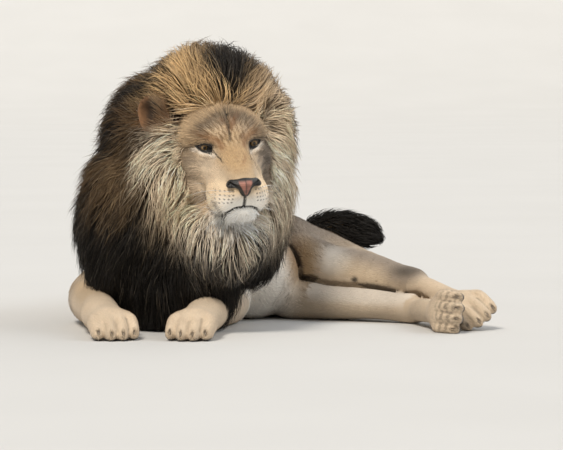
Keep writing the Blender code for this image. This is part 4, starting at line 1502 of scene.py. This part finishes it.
def lock_shades(colour, clump_tone, locks):
    """A lock's colour at each step: dark at the root as painted shade, less so by the face but not above it,
    and a few locks pale.
    """
    draw, q = locks.draw, head_places(locks.place)
    tone = clump_tone * draw.normal(1.0, 0.13, len(colour))
    # Roots by the face, though not above it, get less painted shade; the painted shadow under the hairline
    # stays.
    near = fade(0.07, 0.03, q[:, 1]) * fade(1.5, 1.05, face_ring(q)) * fade(0.05, 0.02, q[:, 2])
    shade = np.array(LOCK_PAINTED_SHADE)
    shade = shade + (LOCK_PAINTED_SHADE_BY_FACE - shade) * (0.75 * near[:, None])
    shades = np.clip(colour[:, None] * (shade * np.maximum(tone, 0.5)[:, None])[..., None], 0.003, 0.9)
    pale = draw.random(len(colour)) < 0.05
    shades[pale] = shades[pale] * 0.6 + np.array([0.10, 0.085, 0.065])
    return shades


def grow_mane(skin, sizes):
    """Locks of the mane in clumps: each lock's path draws in to its clump's towards the tip."""
    rooted = fade(-0.010, -0.022, skin.under) * (1 - skin.near_ears())
    clear = fade(0.98, 1.05, ring_before(skin.head, 0.07))
    density = rooted * clear * fade(0.010, 0.030, skin.places[:, 2])
    per_metre = sizes.mane_density
    locks = Roots(skin.piece, per_metre * density, 31)
    guides = Roots(skin.piece, per_metre / sizes.clump_size * density, 32)
    paths, longs, ups = [], [], []
    for roots, seed in ((guides, 41), (locks, 42)):
        depth = -skin.mane.depth(roots.place)
        rim = fade(1.0, 1.45, ring_before(head_places(roots.place), 0.07))
        long = (0.030 + 2.1 * np.maximum(depth, 0.010)) * (0.45 + 0.55 * rim) * sizes.mane_length
        long *= roots.draw.uniform(0.60, 1.30, len(long))
        cloud = waver(roots.place, 0.045, 44, 2)[:, 0]
        lift = roots.draw.uniform(-0.012, 0.007, len(long)) + 0.011 * cloud
        lift += 0.013 * (roots.draw.random(len(long)) < 0.08)
        long *= 1 + 0.22 * cloud
        paths.append(mane_paths(skin, roots.place, long, LOCK_STEPS, lift, seed))
        longs.append(long)
        ups.append(unit(roots.read(skin.normals)))
    clump = nearest(locks.place, guides.place)
    lock = drawn_in(paths[1], paths[0][clump], clump, locks)
    draw = locks.draw
    seen = lock[:, LOCK_STEPS - 1]
    out = skin.mane.slope(seen, 0.006)
    twist = unit(out + 0.55 * draw.normal(size=out.shape))
    wide = sizes.lock_width * draw.uniform(0.6, 1.4, len(lock))[:, None]
    wide = wide * np.array(LOCK_TAPER)
    colour = paint_all(seen + 0.010 * draw.normal(size=seen.shape), out, skin.lines,
                       np.full(len(seen), -FAR))
    clump_tone = np.random.default_rng(61).normal(1.0, 0.10, len(paths[0]))
    shades = lock_shades(colour, clump_tone[clump], locks)
    spots = unwrapped(locks.place, {"mane": Track([
        (head_at(0, -0.080, -0.060), 0.1), (head_at(0, 0.100, -0.060), 0.1), ((0.0, 0.45, 0.25), 0.1)])})
    order = np.argsort(spots[:, 0], kind="stable")
    pieces = math.ceil(len(lock) * len(tuft_faces(LOCK_STEPS)[0]) / MOST_IN_PIECE)
    for i, chosen in enumerate(np.array_split(order, pieces)):
        yield grow_tufts(f"mane_locks_{i + 1}", lock[chosen], twist[chosen], wide[chosen],
                         shades[chosen], spots[chosen])


def grow_tail_tuft(skin):
    """Long black locks from the tail's last length, drawn to its tip."""
    line = Track([((x, y, z), w) for x, y, z, w, h in TAIL_TUFT])
    outside = Tube(TAIL_TUFT)
    inside = outside.depth(skin.places) < -0.004
    roots = Roots(skin.piece, TAIL_DENSITY * inside * (skin.places[:, 0] > TAIL_TUFT[0][0] - 0.001), 71)
    p, draw = roots.place, roots.draw
    long = draw.uniform(0.040, 0.090, len(p)) * (1 + 0.25 * waver(p, 0.03, 72, 2)[:, 0])
    rise = draw.uniform(-0.006, 0.006, len(p))
    up = unit(roots.read(skin.normals))
    paths = [p]
    pace = long / LOCK_STEPS
    h = 0.001
    for j in range(LOCK_STEPS):
        t = (j + 1) / LOCK_STEPS
        _, _, _, way = line.read(p)
        depth = outside.depth(p)
        out = unit(np.stack([outside.depth(p + h * e) - depth for e in np.eye(3)], 1))
        climb = np.clip((-0.014 * (1 - t) + rise * t - depth) / pace, -0.6, 0.6)
        step = unit(tangent(way + 0.12 * draw.normal(size=p.shape), out) + out * climb[:, None])
        p = p + step * pace[:, None]
        paths.append(p)
    paths = np.stack(paths, 1)
    wide = TAIL_LOCK_WIDTH * draw.uniform(0.6, 1.4, len(p))[:, None] * np.array(TAIL_TAPER)
    # Painted shade along each lock of the tail's tuft: darker at the root, lighter towards the tip.
    tone = draw.normal(1.0, 0.25, (len(p), 1, 1)) * np.array(TAIL_PAINTED_SHADE)[None, :, None]
    shades = np.clip(palette()["black"] * tone, 0.002, 0.5)
    _, along, angle, _ = line.read(roots.place)
    spots = np.column_stack([angle / math.tau + 0.5, along / line.starts[-1]]) * 0.94 + 0.03
    return grow_tufts("tail_tuft_coat", paths, up, wide, shades, spots)


# Eyes, nose, claws and whiskers.


def grid_faces(rows, columns):
    """Quads between neighbouring rows of a grid that closes round."""
    i, j = np.meshgrid(np.arange(rows - 1), np.arange(columns), indexing="ij")
    k = (j + 1) % columns
    quads = np.stack([i * columns + j, i * columns + k, (i + 1) * columns + k, (i + 1) * columns + j], -1)
    return quads.reshape(-1, 4)


def with_caps(quads, caps):
    """The corners of quads and of the caps that follow them, and where each face begins."""
    corners = np.concatenate([quads.ravel(), caps.ravel()])
    starts = np.concatenate([np.arange(len(quads)) * 4, quads.size + np.arange(len(caps)) * caps.shape[1]])
    return corners, starts


def swept(paths, radii, up, sides):
    """Tapered round bars, closed at both ends by rings of almost no width. paths is bar, step, xyz."""
    count, steps = paths.shape[:2]
    along = unit(np.gradient(paths, axis=1))
    side = unit(np.cross(along, up))
    top = np.cross(side, along)
    angle = np.arange(sides) * math.tau / sides
    ring = np.cos(angle)[:, None] * side[:, :, None] + np.sin(angle)[:, None] * top[:, :, None]
    points = paths[:, :, None] + ring * radii[..., None, None]
    quads = grid_faces(steps, sides)[:, ::-1]
    each = steps * sides
    caps = np.array([np.arange(sides), each - 1 - np.arange(sides)])
    return points.reshape(-1, 3), *with_caps(repeated(quads, count, each), repeated(caps, count, each))


def eyeball(side):
    """A ball of rings round the way it looks: angle a from that way, with the cornea's bulge of height
    CORNEA_RISE (1 - (a / CORNEA_EDGE)^2)^2 inside its edge."""
    rings, around = 56, 64
    a = np.linspace(0.004, math.pi - 0.004, rings)
    b = np.arange(around) * math.tau / around
    bulge = CORNEA_RISE * np.maximum(1 - (a / CORNEA_EDGE) ** 2, 0) ** 2
    radius = EYE_RADIUS - EYE_PLAY + bulge
    local = np.stack([
        np.sin(a)[:, None] * np.cos(b) * radius[:, None],
        -np.cos(a)[:, None] * np.ones(around) * radius[:, None],
        np.sin(a)[:, None] * np.sin(b) * radius[:, None],
    ], -1).reshape(-1, 3)
    look = turned((GAZE_DOWN, 0, GAZE_ASIDE))
    points = moved(local, HEAD @ Matrix.Translation(eye_centre(side)) @ look)
    caps = np.array([np.arange(around)[::-1], (rings - 1) * around + np.arange(around)])
    name = "eye_left" if side > 0 else "eye_right"
    mesh = new_mesh(f"{name}_ball", points, *with_caps(grid_faces(rings, around), caps))
    store(mesh, "gaze", local / EYE_RADIUS, "FLOAT_VECTOR")
    return mesh, name


def nose_form():
    """The bare nose: a broad wedge with winged nostrils, a groove down its middle and a narrow foot."""
    nostrils = [(0.0140, -0.1580, -0.0690), (0.0205, -0.1530, -0.0655), (0.0330, -0.1400, -0.0585)]
    middle = [(0, -0.165, -0.060), (0, -0.161, -0.072), (0, -0.156, -0.088)]
    return Grown(
        [
            Ball((0, -0.143, -0.060), (0.026, 0.017, 0.013), (24, 0, 0), HEAD),
            Ball((0, -0.147, -0.072), (0.014, 0.011, 0.018), (8, 0, 0), HEAD),
            *both((0.027, -0.136, -0.059), (0.015, 0.014, 0.0075), (0, 30, -32)),
        ],
        0.006,
        [groove(nostrils, 0.0044), groove(beside(nostrils), 0.0044), groove(middle, 0.0014)],
        0.002,
    )


def make_nose():
    """The nose's mesh, with its colours: pink in the middle, black rims and nostrils."""
    form = nose_form()
    points, quads = Sampled(form, NOSE_STEP).surface()
    points = on_form(form, points, 0.002)
    mesh = faced_out(new_mesh("nose_leather", points, quads))
    q = head_places(points)
    m = folded(q)
    paint = Paint(len(q), "black")
    middle = fade(0.0170, 0.0140, m[:, 0] + 0.50 * np.maximum(-0.057 - q[:, 2], 0))
    pink = middle * fade(-0.050, -0.0545, q[:, 2]) * fade(-0.090, -0.084, q[:, 2])
    inner = stroke(m, [(0.0145, -0.158, -0.0690), (0.0330, -0.140, -0.0585)], 0.0050, 0.3)
    patch = 0.74 + 0.26 * waver(q, 0.010, 7)[:, 0]
    paint.lay("pink", pink * (1 - inner) * patch * (0.25 + 0.75 * fade(0.0002, 0.0022, m[:, 0])))
    store(mesh, "coat", paint.colour)
    return mesh


def make_claws(name, place, slim, inner):
    """Hooked claws: bars whose middle curves down by a parabola and whose radius tapers to the tip."""
    places = [(aside * slim, ahead + 0.036, -0.003, 0) for aside, ahead in toe_places()]
    if inner:
        places.append((inner * 0.050, -0.052, 0.002, -12 * inner))
    t = np.linspace(0, 1, CLAW_STEPS)
    bar = np.column_stack([np.zeros(CLAW_STEPS), -0.010 + 0.0205 * t, 0.003 - 0.0085 * t**2])
    radii = np.maximum(0.0034 * (1 - t**1.8), 0.0002)
    radii[0] = 0.0002
    paths = [moved(bar, place @ Matrix.Translation((x, y, z)) @ turned((0, 0, turn)))
             for x, y, z, turn in places]
    up = np.array(place)[:3, :3] @ np.array([0, 0, 1.0])
    points, corners, starts = swept(np.array(paths), np.tile(radii, (len(paths), 1)), up, CLAW_SIDES)
    points[:, 2] = np.maximum(points[:, 2], FLOOR)
    mesh = new_mesh(f"{name}_claws", points, corners, starts)
    store(mesh, "share", np.tile(np.repeat(t, CLAW_SIDES), len(paths)), "FLOAT")
    return mesh, [f"{name}_claw_{i + 1}" for i in range(len(places))]


def make_whiskers():
    """White bristles in four rows on each pad, each a bow back and down from its root."""
    draw = np.random.default_rng(81)
    paths, radii = [], []
    t = np.linspace(0, 1, 10)[:, None]
    for side in (1, -1):
        for number, place in enumerate(Face.get().lines["whiskers"]):
            row, along = divmod(number, WHISKERS_IN_ROW)
            root = np.array(place) * (side, 1, 1)
            way = unit(np.array([1.0 * side, 0.25 + 0.20 * along, 0.10 - 0.22 * row])
                       + 0.12 * draw.normal(size=3))
            long = draw.uniform(0.045, 0.095)
            sag = np.array([0, 0.35, -0.55]) * long
            paths.append(root - 0.004 * way + t * way * long + t**2 * sag * draw.uniform(0.5, 1.2))
            radii.append(0.00036 * (1 - 0.85 * t[:, 0]))
    paths = moved(np.array(paths), HEAD)
    points, corners, starts = swept(paths, np.array(radii), np.array([0, 0.3, 1.0]), 4)
    return new_mesh("whiskers", points, corners, starts)


# Finishes.


class Value:
    """A socket's number. The operators make Math nodes."""

    def __init__(self, finish, socket):
        self.finish, self.socket = finish, socket

    def math(self, operation, other, flip=False):
        pair = (other, self) if flip else (self, other)
        return self.finish.add("ShaderNodeMath", {"operation": operation}, *pair)

    def __add__(self, other):
        return self.math("ADD", other)

    def __sub__(self, other):
        return self.math("SUBTRACT", other)

    def __rsub__(self, other):
        return self.math("SUBTRACT", other, flip=True)

    def __mul__(self, other):
        return self.math("MULTIPLY", other)

    def __pow__(self, other):
        return self.math("POWER", other)

    __radd__ = __add__
    __rmul__ = __mul__


class Finish:
    """A material: a Principled shader and the nodes that feed it."""

    def __init__(self, name, **constants):
        self.material = bpy.data.materials.new(name)
        self.material.use_nodes = True
        self.tree = self.material.node_tree
        self.shader = self.tree.nodes["Principled BSDF"]
        self.feed(self.shader, **{key.replace("_", " "): value for key, value in constants.items()})

    def feed(self, node, **values):
        """Sets or links a node's sockets by name."""
        for key, value in values.items():
            self.join(node.inputs[key], value)

    def join(self, socket, value):
        if isinstance(value, Value):
            self.tree.links.new(value.socket, socket)
        else:
            socket.default_value = value

    def add(self, kind, settings, *values, out=0, **named):
        """A node of one type: its settings first, then its sockets in order and by name."""
        node = self.tree.nodes.new(kind)
        for key, value in settings.items():
            if key == "stops":
                self.set_stops(node.color_ramp, value)
            else:
                setattr(node, key, value)
        for socket, value in zip(node.inputs, values):
            self.join(socket, value)
        self.feed(node, **named)
        return Value(self, node.outputs[out])

    @staticmethod
    def set_stops(ramp, stops):
        while len(ramp.elements) < len(stops):
            ramp.elements.new(0.5)
        for element, (place, colour) in zip(ramp.elements, stops):
            element.position = place
            element.color = (*colour, 1)

    def mix(self, factor, a, b, blend="MIX"):
        """Two colours mixed by a factor."""
        node = self.tree.nodes.new("ShaderNodeMix")
        node.data_type = "RGBA"
        node.blend_type = blend
        for socket, value in zip((node.inputs[0], node.inputs[6], node.inputs[7]), (factor, a, b)):
            self.join(socket, value)
        return Value(self, node.outputs[2])

    def toned(self, colour, tone):
        """A colour times a number."""
        return self.mix(1.0, colour, self.grey(tone), "MULTIPLY")

    def made(self, colour, **more):
        """The material, its shader fed."""
        self.feed(self.shader, **{"Base Color": colour}, **more)
        return self.material

    def attribute(self, name, out=0):
        return self.add("ShaderNodeAttribute", {"attribute_name": name}, out=out)

    def noise(self, where, scale, detail=3.0, rough=0.55):
        return self.add("ShaderNodeTexNoise", {}, Vector=where, Scale=scale, Detail=detail,
                        Roughness=rough)

    def places(self):
        return self.add("ShaderNodeTexCoord", {}, out=3)

    def grey(self, value):
        """A number as a grey colour."""
        return self.add("ShaderNodeCombineColor", {}, value, value, value)

    def bump(self, height, distance, strength=1.0):
        return self.add("ShaderNodeBump", {}, Height=height, Distance=distance, Strength=strength)


def skin_finish():
    """Short hair in colour and bump: streaks along the lie of the coat, smooth and darker where bare."""
    finish = Finish("skin_hair", Specular_IOR_Level=0.25, Sheen_Weight=0.10, Sheen_Roughness=0.6)
    lie = finish.attribute("lie_place", 1)
    streak = 0.5 + (finish.noise(lie, 1.0, 4.0, 0.6) - 0.5) * finish.attribute("steady", 2)
    patch = finish.noise(finish.places(), 14.0, 3.0, 0.5)
    bare = finish.attribute("bare", 2)
    tone = 0.46 + 0.66 * streak + 0.42 * patch
    colour = finish.toned(finish.attribute("coat"), tone)
    rough = 0.78 - 0.34 * bare
    pores = finish.noise(finish.places(), 700.0, 2.0, 0.5)
    height = streak * (1 - bare) + 0.35 * pores * bare
    return finish.made(colour, Roughness=rough, Normal=finish.bump(height, 0.0022, 0.8))


def hair_finish(name, roughness, sheen):
    """Tufts in the colours of their roots and tips, each a little varied along its length."""
    finish = Finish(name, Roughness=roughness, Specular_IOR_Level=0.20, Sheen_Weight=sheen,
                    Sheen_Roughness=0.5)
    fleck = finish.noise(finish.places(), 220.0, 2.0, 0.6)
    return finish.made(finish.toned(finish.attribute("coat"), 0.72 + 0.56 * fleck))


def eye_finish():
    """Pupil, amber iris with streaks from the pupil, a dark edge and a near-black white of the eye, partly
    its pigment and partly painted shade.
    """
    finish = Finish("eye_wet", Roughness=0.12, Coat_Weight=0.35, Coat_Roughness=0.04,
                    Specular_IOR_Level=0.25)
    gaze = finish.attribute("gaze", 1)
    parts = finish.add("ShaderNodeSeparateXYZ", {}, gaze).socket.node.outputs
    x, z = Value(finish, parts[0]), Value(finish, parts[2])
    radius = (x * x + z * z) ** 0.5
    angle = finish.add("ShaderNodeMath", {"operation": "ARCTAN2"}, z, x)
    polar = finish.add("ShaderNodeCombineXYZ", {}, angle * 5.0, radius * 2.2, 0.0)
    fibre = finish.noise(polar, 2.6, 4.0, 0.65)
    colours = bpy.context.scene.lion_colours
    amber, rim = tuple(colours.iris), tuple(0.35 * c for c in colours.iris)
    bright = tuple(min(1.0, 1.3 * c) for c in colours.iris)
    # Past the iris the white of the eye is near-black: partly its pigment, partly painted shade in the
    # corners of the lids.
    ring = finish.add("ShaderNodeValToRGB", {"stops": [
        (0.0, (0.002, 0.002, 0.002)), (PUPIL, (0.003, 0.002, 0.002)), (PUPIL + 0.025, rim),
        (PUPIL + 0.10, bright), (IRIS - 0.14, amber), (IRIS - 0.03, rim), (IRIS, (0.008, 0.006, 0.005)),
        (IRIS + 0.06, (0.050, 0.034, 0.024)), (1.0, (0.030, 0.020, 0.015))]}, radius)
    return finish.made(finish.toned(ring, 0.55 + 0.9 * fibre))


def nose_finish():
    """Moist leather with a fine cobble."""
    finish = Finish("nose_leather", Roughness=0.36, Specular_IOR_Level=0.5, Coat_Roughness=0.25)
    cells = finish.add("ShaderNodeTexVoronoi", {}, Vector=finish.places(), Scale=900.0)
    patch = finish.noise(finish.places(), 160.0)
    colour = finish.toned(finish.attribute("coat"), 0.75 + 0.5 * patch)
    return finish.made(colour, Normal=finish.bump(cells, 0.0006, 0.7))


def claw_finish():
    """Horn: pale at the tip, dark at the root, with streaks."""
    finish = Finish("claw_horn_gloss", Roughness=0.32, Specular_IOR_Level=0.5)
    share = finish.attribute("share", 2)
    streak = finish.noise(finish.places(), 420.0, 3.0, 0.6)
    ramp = finish.add("ShaderNodeValToRGB", {"stops": [
        (0.0, (0.030, 0.022, 0.016)), (0.55, (0.12, 0.09, 0.065)), (1.0, (0.42, 0.34, 0.25))]}, share)
    colour = finish.toned(ramp, 0.6 + 0.8 * streak)
    return finish.made(colour, Normal=finish.bump(streak, 0.0004, 0.6))


def whisker_finish():
    """Stiff pale bristle, a little darker in places."""
    finish = Finish("whisker_bristle", Roughness=0.35, Specular_IOR_Level=0.5)
    patch = finish.noise(finish.places(), 90.0)
    pale, dull = (0.86, 0.83, 0.78, 1), (0.62, 0.57, 0.50, 1)
    return finish.made(finish.mix(patch, dull, pale))


def floor_finish():
    """Pale matt studio floor with the faintest cloudiness."""
    finish = Finish("floor_matt", Roughness=0.85, Specular_IOR_Level=0.2)
    cloud = finish.noise(finish.places(), 1.4, 2.0, 0.5)
    pale, paler = (0.56, 0.55, 0.53, 1), (0.60, 0.59, 0.57, 1)
    return finish.made(finish.mix(cloud, pale, paler))


# The add-on.


def colour_of(label, description, value):
    return bpy.props.FloatVectorProperty(
        name=label, description=description, subtype="COLOR", size=3, min=0.0, max=1.0, default=value)


def size_of(label, description, value, **more):
    return bpy.props.FloatProperty(name=label, description=description, default=value, **more)


class LionColours(bpy.types.PropertyGroup):
    """Colours of the coat and the bare parts, linear."""

    # dark, black and grey_brown also give painted shade, and white a painted highlight, where the marks say
    # so.
    tawny: colour_of("Tawny", "Body coat", (0.450, 0.335, 0.215))
    gold: colour_of("Gold", "Forehead, bridge of the nose and knee", (0.440, 0.295, 0.155))
    cream: colour_of("Cream", "Cheeks, belly, inner sides and feet", (0.600, 0.475, 0.340))
    white: colour_of("White", "Chin, lips and under the eyes", (0.900, 0.870, 0.810))
    rust: colour_of("Rust", "Ear rims and small spots", (0.200, 0.090, 0.034))
    grey_brown: colour_of("Grey-brown", "Back and outer thigh", (0.215, 0.172, 0.132))
    dark: colour_of("Dark brown", "Lines, hocks and the top of the mane", (0.040, 0.029, 0.020))
    black: colour_of("Black", "Rims, pads, chest and tail tuft", (0.013, 0.011, 0.009))
    brown: colour_of("Brown", "Sides of the mane", (0.120, 0.070, 0.032))
    tan: colour_of("Tan", "Outer ruff", (0.360, 0.250, 0.140))
    ruff: colour_of("Ruff", "Mane round the face", (0.900, 0.710, 0.490))
    crown: colour_of("Crown", "Mane over the forehead", (0.640, 0.430, 0.215))
    pink: colour_of("Pink", "Middle of the nose", (0.400, 0.170, 0.120))
    iris: colour_of("Iris", "Colour of the eyes", (0.215, 0.135, 0.058))


class LionSizes(bpy.types.PropertyGroup):
    """Sizes and densities of the coat."""

    face_long: size_of("Face hair", "Length of tufts on the face", 0.0085, unit="LENGTH")
    body_long: size_of("Body hair", "Length of tufts on the trunk", 0.0150, unit="LENGTH")
    leg_long: size_of("Leg hair", "Length of tufts on the legs", 0.0110, unit="LENGTH")
    lock_width: size_of("Lock width", "Width of a lock of the mane", 0.0015, unit="LENGTH")
    mane_length: size_of("Mane length", "Lock lengths, 1 as grown", 1.0, subtype="FACTOR")
    mane_density: size_of("Mane density", "Locks on a square metre of skin", 57000.0)
    clump_size: size_of("Clump size", "Locks drawn into one point", 16.0)
    face_density: size_of("Face density", "Tufts on a square metre of the face", 380000.0)
    body_density: size_of("Body density", "Tufts on a square metre of the trunk", 40000.0)
    leg_density: size_of("Leg density", "Tufts on a square metre of the legs", 55000.0)


def steady(place, skin):
    """1 where the streaks' places run on evenly, 0 where they jump from one line of the body to another."""
    a, b = skin.edges.T
    jump = length_of(place[a] - place[b]) > 1.5 + 700 * length_of(skin.places[a] - skin.places[b])
    broken = np.zeros((len(place), 1))
    broken[skin.edges[jump].ravel()] = 1.0
    for _ in range(2):
        broken = np.maximum(broken, np.sign(mean_of_neighbours(broken, skin.edges)))
    for _ in range(3):
        broken = (broken + mean_of_neighbours(broken, skin.edges)) / 2
    return fade(0.6, 0.1, broken[:, 0])


class LION_OT_skin(bpy.types.Operator):
    """Grow one skin over the whole body"""

    bl_idname = "lion.skin"
    bl_label = "Skin"

    def execute(self, context):
        form, GROWN["folds"] = body_form()
        mesh = grow_skin(form)
        piece = add_piece(mesh, skin_finish(), "coat_tawny", *FLESH)
        skin = Skin(piece)
        bare = bare_parts(skin)
        colour = paint_all(skin.places, skin.normals, skin.lines, skin.under)
        # Painted shade: the skin deep under the mane is darkened, as if in the shadow of the locks.
        colour *= (1 - 0.60 * fade(-0.014, -0.034, skin.under))[:, None]
        store(mesh, "coat", np.clip(colour, 0.002, 0.95))
        store(mesh, "bare", bare, "FLOAT")
        _, along, angle, _ = on_tracks(skin.places, skin.lines)
        radii = np.array([line.radii.mean() for line in skin.lines.values()])[skin.track]
        place = np.column_stack([along * STREAKS_ALONG, angle * radii * STREAKS_ROUND,
                                 skin.track * TRACKS_APART])
        store(mesh, "lie_place", place, "FLOAT_VECTOR")
        store(mesh, "steady", steady(place, skin), "FLOAT")
        GROWN["skin"] = skin
        return {"FINISHED"}


def grown_skin():
    if "skin" not in GROWN:
        raise RuntimeError("grow the skin first")
    return GROWN["skin"]


class LION_OT_coat(bpy.types.Operator):
    """Lay the short coat on face, ears, trunk, legs and tail"""

    bl_idname = "lion.coat"
    bl_label = "Short coat"

    def execute(self, context):
        skin = grown_skin()
        sizes = context.scene.lion_sizes
        finish = hair_finish("coat_hair", 0.62, 0.10)
        leg, body = sizes.leg_density, sizes.body_density
        for name, tracks, density, long, wide in (
            ("face_coat", ("head",), sizes.face_density, sizes.face_long, 0.0015),
            ("ear_coat", ("ear",), 160000.0, 0.0110, 0.0014),
            ("trunk_coat", ("trunk",), body, sizes.body_long, 0.0030),
            ("tail_coat", ("tail",), leg * 1.5, sizes.leg_long, 0.0022),
            ("upper_leg_coat", ("foreleg", "thigh"), body * 1.4, sizes.body_long, 0.0028),
            ("foreleg_coat", ("forearm",), leg * 2.2, sizes.leg_long * 0.9, 0.0018),
            ("hindleg_coat", ("shank", "hindfoot"), leg * 1.8, sizes.leg_long * 0.9, 0.0019),
        ):
            seed = 100 + len(name)
            mesh = short_coat(skin, name, tracks, density, long, wide, seed)
            add_piece(mesh, finish, "coat_tawny", smooth=False)
        return {"FINISHED"}


class LION_OT_mane(bpy.types.Operator):
    """Grow the mane and the tail's tuft"""

    bl_idname = "lion.mane"
    bl_label = "Mane"

    def execute(self, context):
        skin = grown_skin()
        finish = hair_finish("mane_hair", 0.55, 0.0)
        for mesh in grow_mane(skin, context.scene.lion_sizes):
            add_piece(mesh, finish, "mane_tawny")
        add_piece(grow_tail_tuft(skin), finish, "mane_dark")
        return {"FINISHED"}


class LION_OT_eyes(bpy.types.Operator):
    """Set both eyes in their sockets"""

    bl_idname = "lion.eyes"
    bl_label = "Eyes"

    def execute(self, context):
        finish = eye_finish()
        for side in SIDES.values():
            mesh, node = eyeball(side)
            add_piece(mesh, finish, "eye", node)
        return {"FINISHED"}


class LION_OT_nose(bpy.types.Operator):
    """Shape the bare nose and set the whiskers"""

    bl_idname = "lion.nose"
    bl_label = "Nose and whiskers"

    def execute(self, context):
        add_piece(make_nose(), nose_finish(), "nose_skin", "nose")
        add_piece(make_whiskers(), whisker_finish(), "claw_horn")
        return {"FINISHED"}


class LION_OT_claws(bpy.types.Operator):
    """Set the claws in every paw"""

    bl_idname = "lion.claws"
    bl_label = "Claws"

    def execute(self, context):
        finish = claw_finish()
        for name, place, slim, inner in paws():
            mesh, nodes = make_claws(name, place, slim, inner)
            add_piece(mesh, finish, "claw_horn", *nodes)
        return {"FINISHED"}


def bowl(name):
    """A flat disc whose edge sweeps up: past FLAT the height is a quarter circle's, r - sqrt(r^2 - d^2)."""
    around = 96
    rise = np.linspace(0, math.pi / 2, 14)
    radii = np.concatenate([[1.0, FLAT * 0.5], FLAT + SWEEP * np.sin(rise)])
    heights = np.concatenate([[0, 0], SWEEP * (1 - np.cos(rise))])
    angle = np.arange(around) * math.tau / around
    points = np.stack([radii[:, None] * np.cos(angle), radii[:, None] * np.sin(angle),
                       np.repeat(heights[:, None], around, 1)], -1).reshape(-1, 3)
    mesh = bpy.data.meshes.new(name)
    quads = grid_faces(len(radii), around)[:, ::-1].tolist()
    mesh.from_pydata(points.tolist(), [], [list(range(around)), *quads])
    mesh.polygons.foreach_set("use_smooth", np.ones(len(mesh.polygons), bool))
    return mesh


class LION_OT_stage(bpy.types.Operator):
    """Lay the floor and set the lights and camera"""

    bl_idname = "lion.stage"
    bl_label = "Stage"

    def execute(self, context):
        mesh = bowl("floor")
        mesh.materials.append(floor_finish())
        floor = bpy.data.objects.new("floor", mesh)
        context.scene.collection.objects.link(floor)
        world = bpy.data.worlds.new("studio")
        world.use_nodes = True
        backdrop = world.node_tree.nodes["Background"]
        backdrop.inputs["Color"].default_value = SKY
        backdrop.inputs["Strength"].default_value = SKY_POWER
        context.scene.world = world
        context.scene.view_settings.view_transform = "Standard"
        for row in LIGHTS:
            self.add_light(context, *row)
        self.add_camera(context)
        return {"FINISHED"}

    @staticmethod
    def aim(thing, place, target):
        thing.location = place
        thing.rotation_euler = (target - Vector(place)).to_track_quat("-Z", "Y").to_euler()

    def add_light(self, context, name, place, spread, power, colour):
        light = bpy.data.lights.new(name, "SUN")
        light.angle, light.energy, light.color = math.radians(spread), power, colour
        lamp = bpy.data.objects.new(name, light)
        context.scene.collection.objects.link(lamp)
        self.aim(lamp, place, Vector((0, 0, 0.25)))

    def add_camera(self, context):
        """Low and level before the chest, far enough for little perspective."""
        data = bpy.data.cameras.new("view")
        camera = bpy.data.objects.new("view", data)
        context.scene.collection.objects.link(camera)
        target = Vector(VIEW_TARGET) + SHIFT
        raised = math.radians(VIEW_RAISED)
        way = Vector((0, -math.cos(raised), math.sin(raised)))
        self.aim(camera, target + way * VIEW_AWAY, target)
        data.sensor_width = SENSOR
        data.lens = SENSOR * VIEW_AWAY / VIEW_WIDE
        data.clip_end = 200.0
        context.scene.camera = camera


class LION_PT_panel(bpy.types.Panel):
    """Lists the lion's pieces, sizes and colours"""

    bl_label = "Lion"
    bl_idname = "LION_PT_panel"
    bl_space_type = "VIEW_3D"
    bl_region_type = "UI"
    bl_category = "Lion"

    def draw(self, context):
        for operator in OPERATORS:
            self.layout.operator(operator.bl_idname)
        for group in (context.scene.lion_sizes, context.scene.lion_colours):
            for name in names_in(group):
                self.layout.prop(group, name)


OPERATORS = (
    LION_OT_skin, LION_OT_coat, LION_OT_mane, LION_OT_eyes, LION_OT_nose, LION_OT_claws, LION_OT_stage,
)
CLASSES = (LionColours, LionSizes, *OPERATORS, LION_PT_panel)


def register():
    for cls in CLASSES:
        bpy.utils.register_class(cls)
    bpy.types.Scene.lion_colours = bpy.props.PointerProperty(type=LionColours)
    bpy.types.Scene.lion_sizes = bpy.props.PointerProperty(type=LionSizes)


def unregister():
    del bpy.types.Scene.lion_sizes
    del bpy.types.Scene.lion_colours
    for cls in reversed(CLASSES):
        bpy.utils.unregister_class(cls)


def main():
    """Makes every piece in order."""
    register()
    for step in ("skin", "coat", "mane", "eyes", "nose", "claws", "stage"):
        getattr(bpy.ops.lion, step)()


if __name__ == "__main__":
    main()
